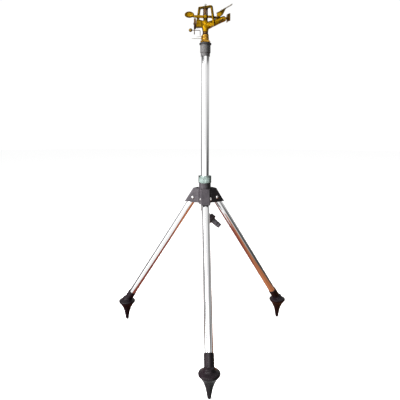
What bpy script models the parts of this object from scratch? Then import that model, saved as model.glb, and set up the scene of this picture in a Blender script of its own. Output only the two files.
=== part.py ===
"""Part-circle impact sprinkler on a sliding riser pipe, carried by a hub with
three folding tubular legs and spiked feet.  Lengths in the tables below are in
millimetres, measured from the riser's axis and from the tips of the spikes."""
import math

import bmesh
import bpy
from mathutils import Matrix, Vector

# ---------------------------------------------------------------- dimensions
MM = 0.001
AXIS_Y = 71.0            # the riser's axis stands this far behind the footprint centre

# riser and its fittings
RISER_R, RISER_BORE = 11.3, 9.9
RISER_BOTTOM = 383.0
HEAD_Z = 850.6           # top face of the black adapter, base of the brass head
ADAPTER_DEPTH = 35.6

# hub, clamp
HUB_R, HUB_BORE = 17.0, 13.7
HUB_BOTTOM, HUB_TOP = 402.0, 462.0
NECK_R, NECK_TOP = 14.9, 474.0
COLLET_BORE = 11.58
COLLAR_R, COLLAR_TOP = 18.4, 482.6

# legs
LEG_AZ = {"front": -90.0, "right": 30.0, "left": 150.0}
PIVOT_R, PIVOT_Z = 36.0, 419.0        # a point on the leg's axis, level with its bolt
BOLT_R, BOLT_Z = 32.6, 419.6          # the bolt sits a little inside the leg's axis
LEG_AIM_R, LEG_AIM_Z = 271.1, 80.0     # the leg's axis passes through here
LEG_R, LEG_BORE = 10.5, 9.1
LEG_END = 416.0
FOOT_R, DISC_R = 282.5, 25.8
CHANNEL_IN, CHANNEL_OUT = 11.15, 12.65

# inlet
INLET_AZ, INLET_TILT, INLET_Z = -18.0, 38.0, 374.0

# head
BARREL_TILT = 23.0
BARREL_Z = 45.5          # above HEAD_Z, where the barrel's axis meets the riser's
BRIDGE_AZ = -30.0

scene = bpy.context.scene
for _ob in list(bpy.data.objects):
    bpy.data.objects.remove(_ob, do_unlink=True)

# ---------------------------------------------------------------- materials
MATERIALS = {
    "brass": ((0.78, 0.49, 0.10), 0.28, 1.0),
    "brass_dark": ((0.42, 0.28, 0.09), 0.38, 1.0),
    "chrome": ((0.86, 0.86, 0.87), 0.10, 1.0),
    "zinc": ((0.60, 0.66, 0.62), 0.34, 1.0),
    "steel": ((0.62, 0.62, 0.63), 0.28, 1.0),
    "spring_steel": ((0.20, 0.14, 0.09), 0.40, 1.0),
    "bronze_dark": ((0.14, 0.09, 0.05), 0.42, 1.0),
    "black_steel": ((0.045, 0.042, 0.05), 0.42, 0.0),
    "black_plastic": ((0.022, 0.020, 0.024), 0.30, 0.0),
    "nylon": ((0.80, 0.80, 0.77), 0.50, 0.0),
    "rubber": ((0.02, 0.02, 0.02), 0.70, 0.0),
}
_made = {}


def material(name):
    if name not in _made:
        colour, rough, metal = MATERIALS[name]
        mat = bpy.data.materials.new(name)
        mat.use_nodes = True
        shader = mat.node_tree.nodes["Principled BSDF"]
        shader.inputs["Base Color"].default_value = (*colour, 1.0)
        shader.inputs["Roughness"].default_value = rough
        shader.inputs["Metallic"].default_value = metal
        mat.diffuse_color = (*colour, 1.0)
        _made[name] = mat
    return _made[name]


# ---------------------------------------------------------------- frames
_world = {}


def empty(name, at, parent=None):
    """An empty at a joint's axis; `at` in millimetres from the riser's axis."""
    e = bpy.data.objects.new(name, None)
    e.empty_display_size = 0.02
    scene.collection.objects.link(e)
    w = Vector((at[0], at[1] + AXIS_Y, at[2])) * MM
    _world[name] = w
    e.parent = parent
    e.location = w - (_world[parent.name] if parent else Vector())
    return e


def polar(r, z, az):
    a = math.radians(az)
    return Vector((r * math.cos(a), r * math.sin(a), z))


def basis(axis, up=None):
    """Rotation whose local Z is `axis`."""
    z = Vector(axis).normalized()
    u = Vector(up) if up is not None else (Vector((0, 0, 1)) if abs(z.z) < 0.9 else Vector((1, 0, 0)))
    x = (u - z * u.dot(z)).normalized()
    y = z.cross(x)
    return Matrix((x, y, z)).transposed()


# ---------------------------------------------------------------- shapes
def finish(bm):
    bmesh.ops.recalc_face_normals(bm, faces=bm.faces[:])
    return bm


def revolve(profile, n=32, at=(0, 0, 0), axis=(0, 0, 1), up=None, start=0.0, stretch=(1, 1), flute=None):
    """A turned piece: (radius, height) points about `axis`; a profile that
    begins and ends on the axis is solid, any other is a closed ring."""
    bm = bmesh.new()
    rot, at = basis(axis, up), Vector(at)
    rings = []
    for r, h in profile:
        if r <= 1e-6:
            rings.append([bm.verts.new(at + rot @ Vector((0, 0, h)))])
            continue
        ring = []
        for i in range(n):
            a = 2 * math.pi * i / n + start
            rr = r
            if flute and r > flute[0] and i % 2:
                rr = r - flute[1]
            ring.append(bm.verts.new(at + rot @ Vector((rr * math.cos(a) * stretch[0], rr * math.sin(a) * stretch[1], h))))
        rings.append(ring)
    closed = profile[0][0] > 1e-6
    pairs = list(zip(rings, rings[1:])) + ([(rings[-1], rings[0])] if closed else [])
    for a, b in pairs:
        for i in range(n):
            j = (i + 1) % n
            if len(a) == 1 and len(b) == 1:
                continue
            if len(a) == 1:
                bm.faces.new((a[0], b[j], b[i]))
            elif len(b) == 1:
                bm.faces.new((a[i], a[j], b[0]))
            else:
                bm.faces.new((a[i], a[j], b[j], b[i]))
    return finish(bm)


def drill(profile, n=16, at=(0, 0, 0), axis=(0, 0, 1)):
    """A solid of revolution used as a cutter; its first corner is turned off
    the seams of the shape that it cuts."""
    return revolve(profile, n, at, axis, start=0.073)


def prism(points, h0, h1, at=(0, 0, 0), axis=(0, 0, 1), up=None):
    """A plate: a polygon in the local XY plane, from h0 to h1 along `axis`."""
    bm = bmesh.new()
    rot, at = basis(axis, up), Vector(at)
    low = [bm.verts.new(at + rot @ Vector((x, y, h0))) for x, y in points]
    high = [bm.verts.new(at + rot @ Vector((x, y, h1))) for x, y in points]
    bm.faces.new(low[::-1])
    bm.faces.new(high)
    n = len(points)
    for i in range(n):
        j = (i + 1) % n
        bm.faces.new((low[i], low[j], high[j], high[i]))
    return finish(bm)


def side_prism(points, y0, y1, az=0.0, at=(0, 0, 0)):
    """A plate whose outline is (radial, height) in the vertical plane at
    azimuth `az`, from y0 to y1 across that plane (to its left)."""
    bm = bmesh.new()
    a = math.radians(az)
    e, t, at = Vector((math.cos(a), math.sin(a), 0)), Vector((-math.sin(a), math.cos(a), 0)), Vector(at)
    low = [bm.verts.new(at + e * r + Vector((0, 0, z)) + t * y0) for r, z in points]
    high = [bm.verts.new(at + e * r + Vector((0, 0, z)) + t * y1) for r, z in points]
    bm.faces.new(low)
    bm.faces.new(high[::-1])
    n = len(points)
    for i in range(n):
        j = (i + 1) % n
        bm.faces.new((low[i], high[i], high[j], low[j]))
    return finish(bm)


def rod(path, r, n=8):
    """A round wire along a list of points, with flat ends."""
    bm = bmesh.new()
    path = [Vector(p) for p in path]
    rings, side = [], None
    for i, p in enumerate(path):
        a, b = path[max(i - 1, 0)], path[min(i + 1, len(path) - 1)]
        t = (b - a).normalized()
        if side is None:
            side = basis(t) @ Vector((1, 0, 0))
        side = (side - t * side.dot(t)).normalized()
        other = t.cross(side)
        rings.append([bm.verts.new(p + (side * math.cos(2 * math.pi * k / n) + other * math.sin(2 * math.pi * k / n)) * r)
                      for k in range(n)])
    for a, b in zip(rings, rings[1:]):
        for k in range(n):
            m = (k + 1) % n
            bm.faces.new((a[k], a[m], b[m], b[k]))
    bm.faces.new(rings[0][::-1])
    bm.faces.new(rings[-1])
    return finish(bm)


def coil(r, wire, z0, z1, turns, n=14, sides=6, phase=0.0):
    """A closed-end helical spring about the Z axis."""
    steps = int(turns * n)
    pts = []
    for i in range(steps + 1):
        f = i / steps
        a = 2 * math.pi * turns * f + phase
        g = min(max((f - 0.09) / 0.82, 0.0), 1.0)
        g = 0.05 * f + 0.95 * g
        pts.append((r * math.cos(a), r * math.sin(a), z0 + wire + (z1 - z0 - 2 * wire) * g))
    return rod(pts, wire, sides)


def to_object(bm, name="tmp"):
    me = bpy.data.meshes.new(name)
    bm.to_mesh(me)
    bm.free()
    ob = bpy.data.objects.new(name, me)
    scene.collection.objects.link(ob)
    return ob


def combine(base, tools, operation):
    """Exact boolean of a shape with each tool in turn; returns a new bmesh."""
    ob = to_object(base)
    for tool in tools:
        cut = to_object(tool)
        cut.display_type = "WIRE"
        cut.hide_render = True
        mod = ob.modifiers.new("Boolean", "BOOLEAN")
        mod.operation = operation
        mod.solver = "EXACT"
        mod.object = cut
        graph = bpy.context.evaluated_depsgraph_get()
        me = bpy.data.meshes.new_from_object(ob.evaluated_get(graph))
        ob.modifiers.clear()
        old = ob.data
        ob.data = me
        bpy.data.meshes.remove(old)
        gone = cut.data
        bpy.data.objects.remove(cut, do_unlink=True)
        bpy.data.meshes.remove(gone)
    out = bmesh.new()
    out.from_mesh(ob.data)
    old = ob.data
    bpy.data.objects.remove(ob, do_unlink=True)
    bpy.data.meshes.remove(old)
    bmesh.ops.remove_doubles(out, verts=out.verts[:], dist=0.002)
    bmesh.ops.dissolve_degenerate(out, edges=out.edges[:], dist=0.001)
    return out


def join(base, *tools):
    return combine(base, tools, "UNION")


def cut(base, *tools):
    return combine(base, tools, "DIFFERENCE")


def node(name, bm, mat, parent, smooth=True, turn=None):
    """Stores a shape as one named object under the empty of its body."""
    shift = Vector((0, AXIS_Y, 0))
    home = _world[parent.name] / MM
    if turn is not None:
        bmesh.ops.transform(bm, matrix=turn, verts=bm.verts[:])
    for v in bm.verts:
        v.co = (v.co + shift - home) * MM
    me = bpy.data.meshes.new(name)
    bm.to_mesh(me)
    bm.free()
    me.materials.append(material(mat))
    ob = bpy.data.objects.new(name, me)
    scene.collection.objects.link(ob)
    ob.parent = parent
    if smooth:
        for p in me.polygons:
            p.use_smooth = True
        me.set_sharp_from_angle(angle=math.radians(35))
    return ob


def washer(r_in, r_out, z0, z1, n=24, c=0.2):
    return revolve([(r_in, z0), (r_out - c, z0), (r_out, z0 + c), (r_out, z1 - c), (r_out - c, z1), (r_in, z1)], n)


def hexagon(r, start=0.0):
    return [(r * math.cos(math.radians(60 * i) + start), r * math.sin(math.radians(60 * i) + start)) for i in range(6)]


def arc(cx, cy, r, a0, a1, n):
    return [(cx + r * math.cos(math.radians(a0 + (a1 - a0) * i / n)), cy + r * math.sin(math.radians(a0 + (a1 - a0) * i / n)))
            for i in range(n + 1)]


# ================================================================ stand (hub)
stand = empty("stand", (0, 0, HUB_BOTTOM))

hub = revolve([(HUB_BORE, HUB_BOTTOM), (HUB_R - 0.6, HUB_BOTTOM), (HUB_R, HUB_BOTTOM + 0.6), (HUB_R, HUB_TOP - 0.6),
               (HUB_R - 0.6, HUB_TOP), (NECK_R, HUB_TOP), (NECK_R, NECK_TOP - 0.5), (NECK_R - 0.5, NECK_TOP),
               (HUB_BORE, NECK_TOP)], 28)
node("hub_tube", hub, "black_steel", stand)

leg_dir2 = Vector((LEG_AIM_R - PIVOT_R, LEG_AIM_Z - PIVOT_Z)).normalized()   # (radial, up)
out2 = Vector((-leg_dir2.y, leg_dir2.x))                                       # outward normal of the leg


def web_line(off, z):
    return PIVOT_R + (off - out2.y * (z - PIVOT_Z)) / out2.x


for tag, az in LEG_AZ.items():
    top, low = 447.0, 409.0
    outline = [(13.3, top), (web_line(12.55, top), top), (web_line(12.55, low), low), (web_line(12.55, low) + 2.6, low - 1.1),
               (web_line(12.55, low) + 2.1, low - 2.4), (web_line(12.55, low) - 2.0, low - 2.0), (34.0, low - 3.6), (13.3, low - 3.6)]
    shell = side_prism(outline, -CHANNEL_OUT, CHANNEL_OUT, az)
    hollow = side_prism([(0, 465), (web_line(11.05, 465), 465), (web_line(11.05, 385), 385), (0, 385)],
                        -CHANNEL_IN, CHANNEL_IN, az)
    across = polar(1, 0, az + 90)
    hole = revolve([(0, -16), (3.3, -16), (3.3, 16), (0, 16)], 14, polar(BOLT_R, BOLT_Z, az), across)
    node("bracket_" + tag, cut(shell, hollow, hole), "black_steel", stand, smooth=False)

    near = -1 if tag != "left" else 1
    axis = across * near
    bolt = revolve([(0, -17.6), (3.0, -17.6), (3.0, 12.95), (4.6, 12.95), (4.6, 14.3), (3.6, 15.8), (1.8, 16.5), (0, 16.6)],
                   14, polar(BOLT_R, BOLT_Z, az), axis)
    node("pivot_bolt_" + tag, bolt, "steel", stand)
    nut = cut(prism(hexagon(5.5), -16.6, -12.95, polar(BOLT_R, BOLT_Z, az), axis),
                 drill([(0, -20), (3.3, -20), (3.3, -10), (0, -10)], 14, polar(BOLT_R, BOLT_Z, az), axis))
    node("pivot_nut_" + tag, nut, "steel", stand, smooth=False)

# ================================================================ clamp
collar_at = empty("lock_collar_axis", (0, 0, HUB_TOP), stand)
collar = revolve([(15.25, HUB_TOP + 0.4), (COLLAR_R - 0.7, HUB_TOP + 0.4), (COLLAR_R, HUB_TOP + 1.2), (COLLAR_R, COLLAR_TOP - 1.1),
                  (COLLAR_R - 1.0, COLLAR_TOP), (11.95, COLLAR_TOP), (11.95, COLLAR_TOP - 3.3), (15.25, COLLAR_TOP - 4.9)], 40, flute=(17.9, 0.7))
node("lock_collar", collar, "zinc", collar_at, smooth=False)

swivel = empty("collet_axis", (0, 0, NECK_TOP), stand)
collet = revolve([(COLLET_BORE, HUB_BOTTOM + 2.0), (13.35, HUB_BOTTOM + 2.0), (13.35, NECK_TOP + 0.3), (14.6, NECK_TOP + 0.3),
                  (14.6, NECK_TOP + 2.6), (13.2, NECK_TOP + 4.1), (COLLET_BORE, NECK_TOP + 4.1)], 28)
node("clamp_collet", collet, "nylon", swivel)

# ================================================================ legs
leg3 = {}
for tag, az in LEG_AZ.items():
    pivot = polar(PIVOT_R, PIVOT_Z, az)
    direction = polar(leg_dir2.x, leg_dir2.y, az)
    across = polar(1, 0, az + 90)
    bolt_at = polar(BOLT_R, BOLT_Z, az)
    hinge = empty("leg_" + tag + "_axis", bolt_at, stand)
    tube = revolve([(LEG_BORE, 12.0), (LEG_R, 12.0), (LEG_R, LEG_END), (LEG_BORE, LEG_END)], 24, pivot, direction)
    node("leg_tube_" + tag, tube, "chrome", hinge)
    dome = [(LEG_R * math.sin(math.radians(t)), -LEG_R * math.cos(math.radians(t))) for t in (0, 25, 47, 69, 90)]
    eye = revolve(dome + [(LEG_R, 11.7), (8.8, 11.7), (8.8, 26.0), (8.2, 26.6), (0, 26.6)], 20, pivot, direction)
    eye = cut(eye, drill([(0, -20), (3.35, -20), (3.35, 20), (0, 20)], 14, bolt_at, across))
    node("leg_eye_" + tag, eye, "black_plastic", hinge)

    centre = polar(FOOT_R, 0, az)
    spike = revolve([(0, 0), (2.6, 0.7), (4.5, 3.0), (5.9, 12.0), (7.8, 23.0), (10.8, 33.0), (14.4, 43.0),
                     (20.8, 53.5), (DISC_R, 59.6), (DISC_R, 62.6), (24.0, 64.8), (15.5, 69.0),
                     (12.2, 74.0), (0, 76.0)], 18, centre)
    sleeve_top = LEG_END - 24.0
    body = join(spike, revolve([(0, sleeve_top), (11.6, sleeve_top), (12.1, sleeve_top + 0.8), (12.1, LEG_END + 11.0), (9.0, LEG_END + 15.0), (0, LEG_END + 15.0)],
                               18, pivot, direction))
    body = cut(body, drill([(0, LEG_END - 35.0), (10.8, LEG_END - 35.0), (10.8, LEG_END + 0.4), (0, LEG_END + 0.4)], 18, pivot, direction))
    node("foot_" + tag, body, "black_plastic", hinge)

# ================================================================ riser
riser = empty("riser_axis", (0, 0, RISER_BOTTOM), swivel)
node("riser_tube", revolve([(RISER_BORE, RISER_BOTTOM), (RISER_R, RISER_BOTTOM), (RISER_R, HEAD_Z - 20.3), (RISER_BORE, HEAD_Z - 20.3)], 28),
     "chrome", riser)

H = HEAD_Z
node("riser_adapter",
     revolve([(11.65, H - 35.6), (12.8, H - 35.6), (12.8, H - 27.6), (14.2, H - 26.2), (14.5, H - 25.2),
              (14.5, H - 4.4), (16.8, H - 3.8), (16.8, H - 0.5), (16.3, H), (10.4, H), (10.4, H - 18.4), (8.8, H - 18.4),
              (8.8, H - 20.0), (11.65, H - 20.0)], 24), "black_plastic", riser)

inlet_dir = Vector((math.cos(math.radians(INLET_AZ)) * math.cos(math.radians(INLET_TILT)),
                    math.sin(math.radians(INLET_AZ)) * math.cos(math.radians(INLET_TILT)), -math.sin(math.radians(INLET_TILT))))
inlet_at = Vector((0, 0, INLET_Z))
E = RISER_BOTTOM
elbow = revolve([(0, E - 20.5), (5.0, E - 19.4), (8.2, E - 15.5), (9.1, E - 11.0), (9.1, E - 0.5), (9.6, E), (9.6, E + 15.4), (9.0, E + 16.0), (0, E + 16.0)], 24)
elbow = join(elbow, revolve([(0, 2.0), (8.7, 2.0), (8.7, 15.6), (12.2, 15.6), (13.6, 17.0), (13.6, 28.6), (12.2, 30.0), (0, 30.0)], 24,
                            inlet_at, inlet_dir))
elbow = cut(elbow, drill([(0, INLET_Z - 5.0), (7.4, INLET_Z - 5.0), (7.4, E + 20.0), (0, E + 20.0)], 20),
            drill([(0, 4.0), (4.6, 4.0), (4.6, 20.0), (0, 20.0)], 14, inlet_at, inlet_dir),
            drill([(0, 16.6), (6.4, 16.6), (6.4, 33.0), (0, 33.0)], 18, inlet_at, inlet_dir))
node("inlet_elbow", elbow, "black_plastic", riser)
node("hose_nipple",
     revolve([(4.2, 17.0), (6.0, 17.0), (6.0, 30.3), (8.8, 30.3), (8.8, 32.6), (7.4, 33.2), (7.4, 44.4), (6.2, 44.8), (6.2, 47.4),
              (7.4, 47.8), (7.4, 52.0), (6.7, 54.0), (6.7, 56.4), (6.2, 57.0), (4.2, 57.0)], 18, inlet_at, inlet_dir),
     "black_plastic", riser)
node("nipple_oring",
     revolve([(7.4 + 0.85 * math.cos(math.radians(a)), 46.1 + 0.85 * math.sin(math.radians(a))) for a in range(0, 360, 60)], 18,
             inlet_at, inlet_dir), "rubber", riser)

node("adapter_seal", washer(10.5, 14.6, H + 0.3, H + 1.6), "rubber", riser)
nipple = revolve([(9.05, H - 17.0), (9.7, H - 17.0), (10.1, H - 16.4), (10.1, H + 3.0), (7.9, H + 3.0), (7.9, H + 23.4), (6.3, H + 23.4),
                  (6.3, H - 3.6), (9.05, H - 3.6)], 24)
hexa = cut(prism(hexagon(14.2, math.radians(12)), H + 1.9, H + 7.1), drill([(0, H), (7.5, H), (7.5, H + 9), (0, H + 9)], 24))
node("bearing_nipple", join(nipple, hexa), "brass", riser, smooth=False)

# trip collars: each a friction ring with a wire stop
for tag, z0, z1, r_out, zw, reach, az in (("lower", 7.5, 14.8, 9.9, 12.3, 38.0, 184.0), ("upper", 15.5, 23.1, 9.4, 18.4, 24.5, 172.0)):
    ring_at = empty("trip_collar_" + tag + "_axis", (0, 0, H + z0), riser)
    ring = revolve([(8.15, H + z0), (r_out - 0.5, H + z0), (r_out, H + z0 + 0.5), (r_out, H + z1 - 0.5), (r_out - 0.5, H + z1), (8.15, H + z1)], 24)
    pad = side_prism([(8.5, H + zw - 2.4), (r_out + 2.2, H + zw - 2.4), (r_out + 2.2, H + zw + 2.4), (8.5, H + zw + 2.4)], -2.4, 2.4, az)
    ring = join(ring, pad)
    ring = cut(ring, drill([(0, r_out - 0.9), (1.15, r_out - 0.9), (1.15, r_out + 4), (0, r_out + 4)], 12, (0, 0, H + zw), polar(1, 0, az)))
    node("trip_collar_" + tag, ring, "brass", ring_at, smooth=False)
    node("trip_wire_" + tag, rod([polar(r_out - 0.6, H + zw, az), polar(reach, H + zw, az)], 0.8, 10), "steel", ring_at)

# ================================================================ head
head = empty("head_axis", (0, 0, H + 30.8), riser)
node("bearing_sleeve", revolve([(4.4, H - 9.0), (8.6, H - 9.0), (8.6, H - 6.3), (5.95, H - 6.3), (5.95, H + 40.6), (4.4, H + 40.6)], 24), "brass", head)
node("bearing_seal", washer(6.25, 8.6, H - 6.0, H - 4.0), "rubber", head)
node("thrust_washer", washer(6.25, 8.3, H + 23.8, H + 25.0), "nylon", head)
node("bearing_spring", coil(7.25, 0.55, H + 25.4, H + 30.4, 3.0, 14, 5), "spring_steel", head)

bt = math.radians(BARREL_TILT)
b_dir = Vector((math.cos(bt), 0, math.sin(bt)))
b_down = Vector((math.sin(bt), 0, -math.cos(bt)))
b_at = Vector((0, 0, H + BARREL_Z))
casting = revolve([(0, H + 30.8), (7.4, H + 30.8), (8.1, H + 31.6), (8.1, H + 34.0), (8.8, H + 36.5), (9.6, H + 40.0), (10.2, H + 46.0),
                   (9.8, H + 52.0), (8.2, H + 57.5), (6.4, H + 60.5), (6.0, H + 66.0), (0, H + 66.0)], 20)
barrel = revolve([(0, 0), (9.8, 0), (9.8, 10.0), (8.9, 22.0), (8.0, 38.0), (7.5, 48.0), (7.7, 50.0), (7.7, 55.4), (7.2, 56.0), (0, 56.0)], 20, b_at, b_dir)
frame = side_prism([(-28.4, H + 44.0), (28.4, H + 44.0), (28.4, H + 50.0), (20.8, H + 98.6), (19.4, H + 100.1), (-19.4, H + 100.1), (-20.8, H + 98.6),
                    (-28.4, H + 50.0)], -4.25, 4.25, BRIDGE_AZ)
frame = cut(frame, side_prism([(-23.4, H + 52.5), (23.4, H + 52.5), (16.8, H + 94.6), (-16.8, H + 94.6)], -8, 8, BRIDGE_AZ))
lug = side_prism([(-25.6, H + 42.3), (-4.0, H + 42.3), (-4.0, H + 60.0), (-19.0, H + 63.6), (-25.6, H + 61.0)], -5.0, 5.0)
ear = side_prism([(28.0, H + 62.0), (40.0, H + 66.0), (38.2, H + 72.5), (36.2, H + 75.0), (32.6, H + 75.2), (30.2, H + 72.6)], -2.0, 2.0)
casting = join(casting, barrel, frame, lug, ear)
trip_z = H + 53.0
flap_at = Vector((34.2, 0, H + 71.3))
casting = cut(casting,
              drill([(0, H + 25), (6.25, H + 25), (6.25, H + 41.0), (0, H + 41.0)], 20),
              drill([(0, H + 40.5), (5.0, H + 40.5), (5.0, H + 48.0), (3.5, H + 51.0), (0, H + 51.0)], 16),
              drill([(0, 0), (4.5, 0), (4.5, 42.2), (5.25, 42.2), (5.25, 60.0), (0, 60.0)], 16, b_at, b_dir),
              drill([(0, H + 54.0), (2.35, H + 54.0), (2.35, H + 108.0), (0, H + 108.0)], 12),
              drill([(0, 12.0), (2.1, 12.0), (2.1, 30.0), (0, 30.0)], 16, (0, 0, trip_z), (-1, 0, 0)),
              drill([(0, -4.0), (1.85, -4.0), (1.85, 4.0), (0, 4.0)], 16, flap_at, (0, 1, 0)),
              drill([(0, 4.0), (1.7, 4.0), (1.7, 12.0), (0, 12.0)], 14, b_at + b_dir * 49.4, Vector((0, -math.cos(math.radians(14)), 0)) + b_down * math.sin(math.radians(14))),
              drill([(0, 4.0), (1.7, 4.0), (1.7, 12.0), (0, 12.0)], 14, b_at + b_dir * 42.6, Vector((0, -math.cos(math.radians(34)), 0)) + b_down * math.sin(math.radians(34))))
node("head_casting", casting, "brass", head)

node("nozzle", revolve([(3.4, 43.0), (4.9, 43.0), (4.9, 56.3), (7.0, 56.3), (7.0, 58.9), (6.4, 59.5), (2.2, 59.5), (2.2, 52.0)], 18, b_at, b_dir), "brass", head)
for name, s, tilt in (("diffuser_screw", 49.4, 14.0), ("spreader_plug", 42.6, 34.0)):
    t = math.radians(tilt)
    d = Vector((0, -math.cos(t), 0)) + b_down * math.sin(t)
    screw = revolve([(0, 5.6), (1.4, 5.6), (1.4, 8.4), (2.8, 8.4), (2.8, 10.0), (2.2, 10.7), (0, 10.7)], 18, b_at + b_dir * s, d)
    slot = prism([(-4, -0.45), (4, -0.45), (4, 0.45), (-4, 0.45)], 9.7, 12.0, b_at + b_dir * s, d)
    node(name, cut(screw, slot), "bronze_dark", head, smooth=False)

node("fulcrum_pin", revolve([(0, H + 54.4), (2.0, H + 54.4), (2.0, H + 100.4), (2.9, H + 100.4), (3.1, H + 101.2), (2.2, H + 102.2), (2.2, H + 104.0),
                             (2.9, H + 104.8), (2.6, H + 106.0), (0, H + 106.4)], 18), "steel", head)
node("arm_washer", washer(2.3, 5.8, H + 66.3, H + 67.3, 24), "nylon", head)
node("arm_spring", coil(6.1, 0.85, H + 76.6, H + 92.6, 5.0, 12, 5), "spring_steel", head)
node("spring_seat", revolve([(2.3, H + 92.9), (7.6, H + 92.9), (7.6, H + 93.8), (7.1, H + 94.3), (2.3, H + 94.3)], 24), "bronze_dark", head)
node("trip_pivot_pin", revolve([(0, 13.0), (1.75, 13.0), (1.75, 32.4), (3.2, 32.4), (3.2, 33.6), (2.6, 34.2), (0, 34.2)], 16, (0, 0, trip_z), (-1, 0, 0)), "steel", head)

# ---------------------------------------------------------------- swing arm
arm_at = empty("arm_axis", (0, 0, H + 67.7), head)
arm = revolve([(0, H + 67.7), (7.0, H + 67.7), (7.4, H + 68.1), (7.4, H + 75.3), (7.0, H + 75.7), (0, H + 75.7)], 22)
left = side_prism([(-35.0, H + 69.2), (0, H + 67.9), (0, H + 75.5), (-35.0, H + 75.4)], -3.0, 3.0)
paddle = revolve([(0, -3.4), (9.0, -3.4), (12.2, -2.8), (13.2, -1.2), (13.2, 1.6), (12.0, 3.4), (10.6, 3.4), (8.6, 1.6), (5.0, 0.4), (0, 0.0)], 24,
                 (-44.3, 0, H + 76.7), (0, -1, 0), up=(1, 0, 0), stretch=(1.0, 0.64))
limb_mid = [(0, 0.5), (13, 1.6), (27, 8.8), (40, 13.6), (60.5, 14.4)]


def ribbon(mid, w):
    mid = [Vector((x, y, 0)) for x, y in mid]
    a, b = [], []
    for i, p in enumerate(mid):
        q0, q1 = mid[max(i - 1, 0)], mid[min(i + 1, len(mid) - 1)]
        t = (q1 - q0).normalized()
        nrm = Vector((-t.y, t.x, 0))
        a.append(p + nrm * w)
        b.append(p - nrm * w)
    return [(p.x, p.y) for p in b + a[::-1]]


right = prism(ribbon(limb_mid, 2.5), H + 69.2, H + 75.4, axis=(0, 0, 1), up=(1, 0, 0))
spoon = prism(ribbon([(60.6, 16.4), (61.2, 8.0), (63.4, 0.5), (67.6, -6.6)], 1.3), H + 60.5, H + 81.0, axis=(0, 0, 1), up=(1, 0, 0))
arm = join(arm, left, paddle, right, spoon)
arm = cut(arm, drill([(0, H + 60), (4.3, H + 60), (4.3, H + 80), (0, H + 80)], 16))
node("swing_arm", arm, "brass", arm_at)
node("arm_bushing", revolve([(2.3, H + 67.8), (3.95, H + 67.8), (3.95, H + 75.6), (2.3, H + 75.6)], 24), "nylon", arm_at)

# ---------------------------------------------------------------- trip lever
trip_at = empty("trip_lever_axis", (-29.0, 0, trip_z), head)
upper = [(-5.0, 42.3), (-2.4, 38.6), (2.4, 38.6), (5.0, 42.3), (5.2, 58.0), (3.0, 66.7), (-3.0, 66.7), (-5.2, 58.0)]
tail = [(-1.7, 28.5), (-2.8, 26.4), (0, 23.6), (2.8, 26.4), (1.7, 28.5), (1.7, 33.0), (2.6, 35.2), (1.7, 37.4), (1.9, 44.0), (-1.9, 44.0), (-1.7, 37.4), (-2.6, 35.2), (-1.7, 33.0)]


def yz_prism(points, x0, x1):
    return side_prism([(y, H + z) for y, z in points], -x1, -x0, 90.0)


lever = join(yz_prism(upper, -32.0, -26.0), yz_prism(tail, -31.7, -29.3))
lever = cut(lever, drill([(0, 20), (2.1, 20), (2.1, 40), (0, 40)], 18, (0, 0, trip_z), (-1, 0, 0)),
            drill([(0, 20), (1.25, 20), (1.25, 40), (0, 40)], 12, (0, 0, H + 35.2), (-1, 0, 0)))
node("trip_lever", lever, "bronze_dark", trip_at, smooth=False)
wire = [(-38.2, 0, H + 35.2), (-30.0, 0, H + 35.2), (-17.0, 0, H + 35.2)] + \
       [(-17.0 + 2.5 * math.sin(math.radians(a)), 0, H + 32.7 + 2.5 * math.cos(math.radians(a))) for a in (22.5, 45, 67.5)] + \
       [(-14.5, 0, H + 32.0), (-14.5, 0, H + 20.6)]
node("trip_wire", rod(wire, 0.9, 10), "bronze_dark", trip_at)
ball = [(5.0 * math.sin(math.radians(t)), -5.0 * math.cos(math.radians(t))) for t in range(0, 181, 20)]
ball[0], ball[-1] = (0, -5.0), (0, 5.0)
ball_at = (-41.0, 0, H + 35.2)
node("trip_knob", cut(revolve(ball, 20, ball_at, (1, 0, 0)), drill([(0, 2.4), (1.25, 2.4), (1.25, 9.0), (0, 9.0)], 12, ball_at, (1, 0, 0))),
     "brass_dark", trip_at)

# ---------------------------------------------------------------- deflector
flap = empty("deflector_axis", flap_at, head)
cheek_line = [(30.4, H + 68.9), (35.4, H + 68.9), (37.8, H + 71.0), (48.6, H + 79.2), (56.4, H + 94.9), (31.6, H + 80.6)]
clevis = side_prism(cheek_line, -4.4, 4.4)
clevis = cut(clevis, side_prism([(28.0, H + 60), (44.0, H + 60), (44.0, H + 76.5), (41.0, H + 78.5), (28.0, H + 78.5)], -2.35, 2.35),
             drill([(0, -8), (1.85, -8), (1.85, 8), (0, 8)], 16, flap_at, (0, 1, 0)))
slope = Vector((math.cos(math.radians(30)), 0, math.sin(math.radians(30))))
rivet_at = Vector((45.4, 0, H + 88.75))
rise = Vector((-math.sin(math.radians(30)), 0, math.cos(math.radians(30))))
clevis = cut(clevis, drill([(0, -5.0), (1.75, -5.0), (1.75, 6.0), (0, 6.0)], 14, rivet_at, rise))
node("deflector_bracket", clevis, "brass", flap, smooth=False)
plate = prism([(-16.5, -6.0), (-12.0, -7.2), (26.0, -7.6), (32.6, -6.2), (34.0, -3.0), (34.0, 3.0), (32.6, 6.2), (26.0, 7.6), (-12.0, 7.2), (-16.5, 6.0)],
              0.35, 1.85, rivet_at, rise, up=slope)
plate = cut(plate, drill([(0, -5.0), (1.75, -5.0), (1.75, 6.0), (0, 6.0)], 14, rivet_at, rise))
node("deflector_plate", plate, "steel", flap, smooth=False)
node("deflector_rivet", revolve([(0, -4.0), (1.4, -4.0), (1.4, 2.15), (2.9, 2.15), (2.5, 3.2), (1.4, 3.8), (0, 3.9)], 14, rivet_at, rise), "steel", flap)
node("deflector_pin", revolve([(0, -5.6), (1.5, -5.6), (1.5, 4.7), (2.7, 4.7), (2.7, 5.6), (2.2, 6.1), (0, 6.1)], 14, flap_at, (0, -1, 0)), "bronze_dark", head)
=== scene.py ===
import math
import random

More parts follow.
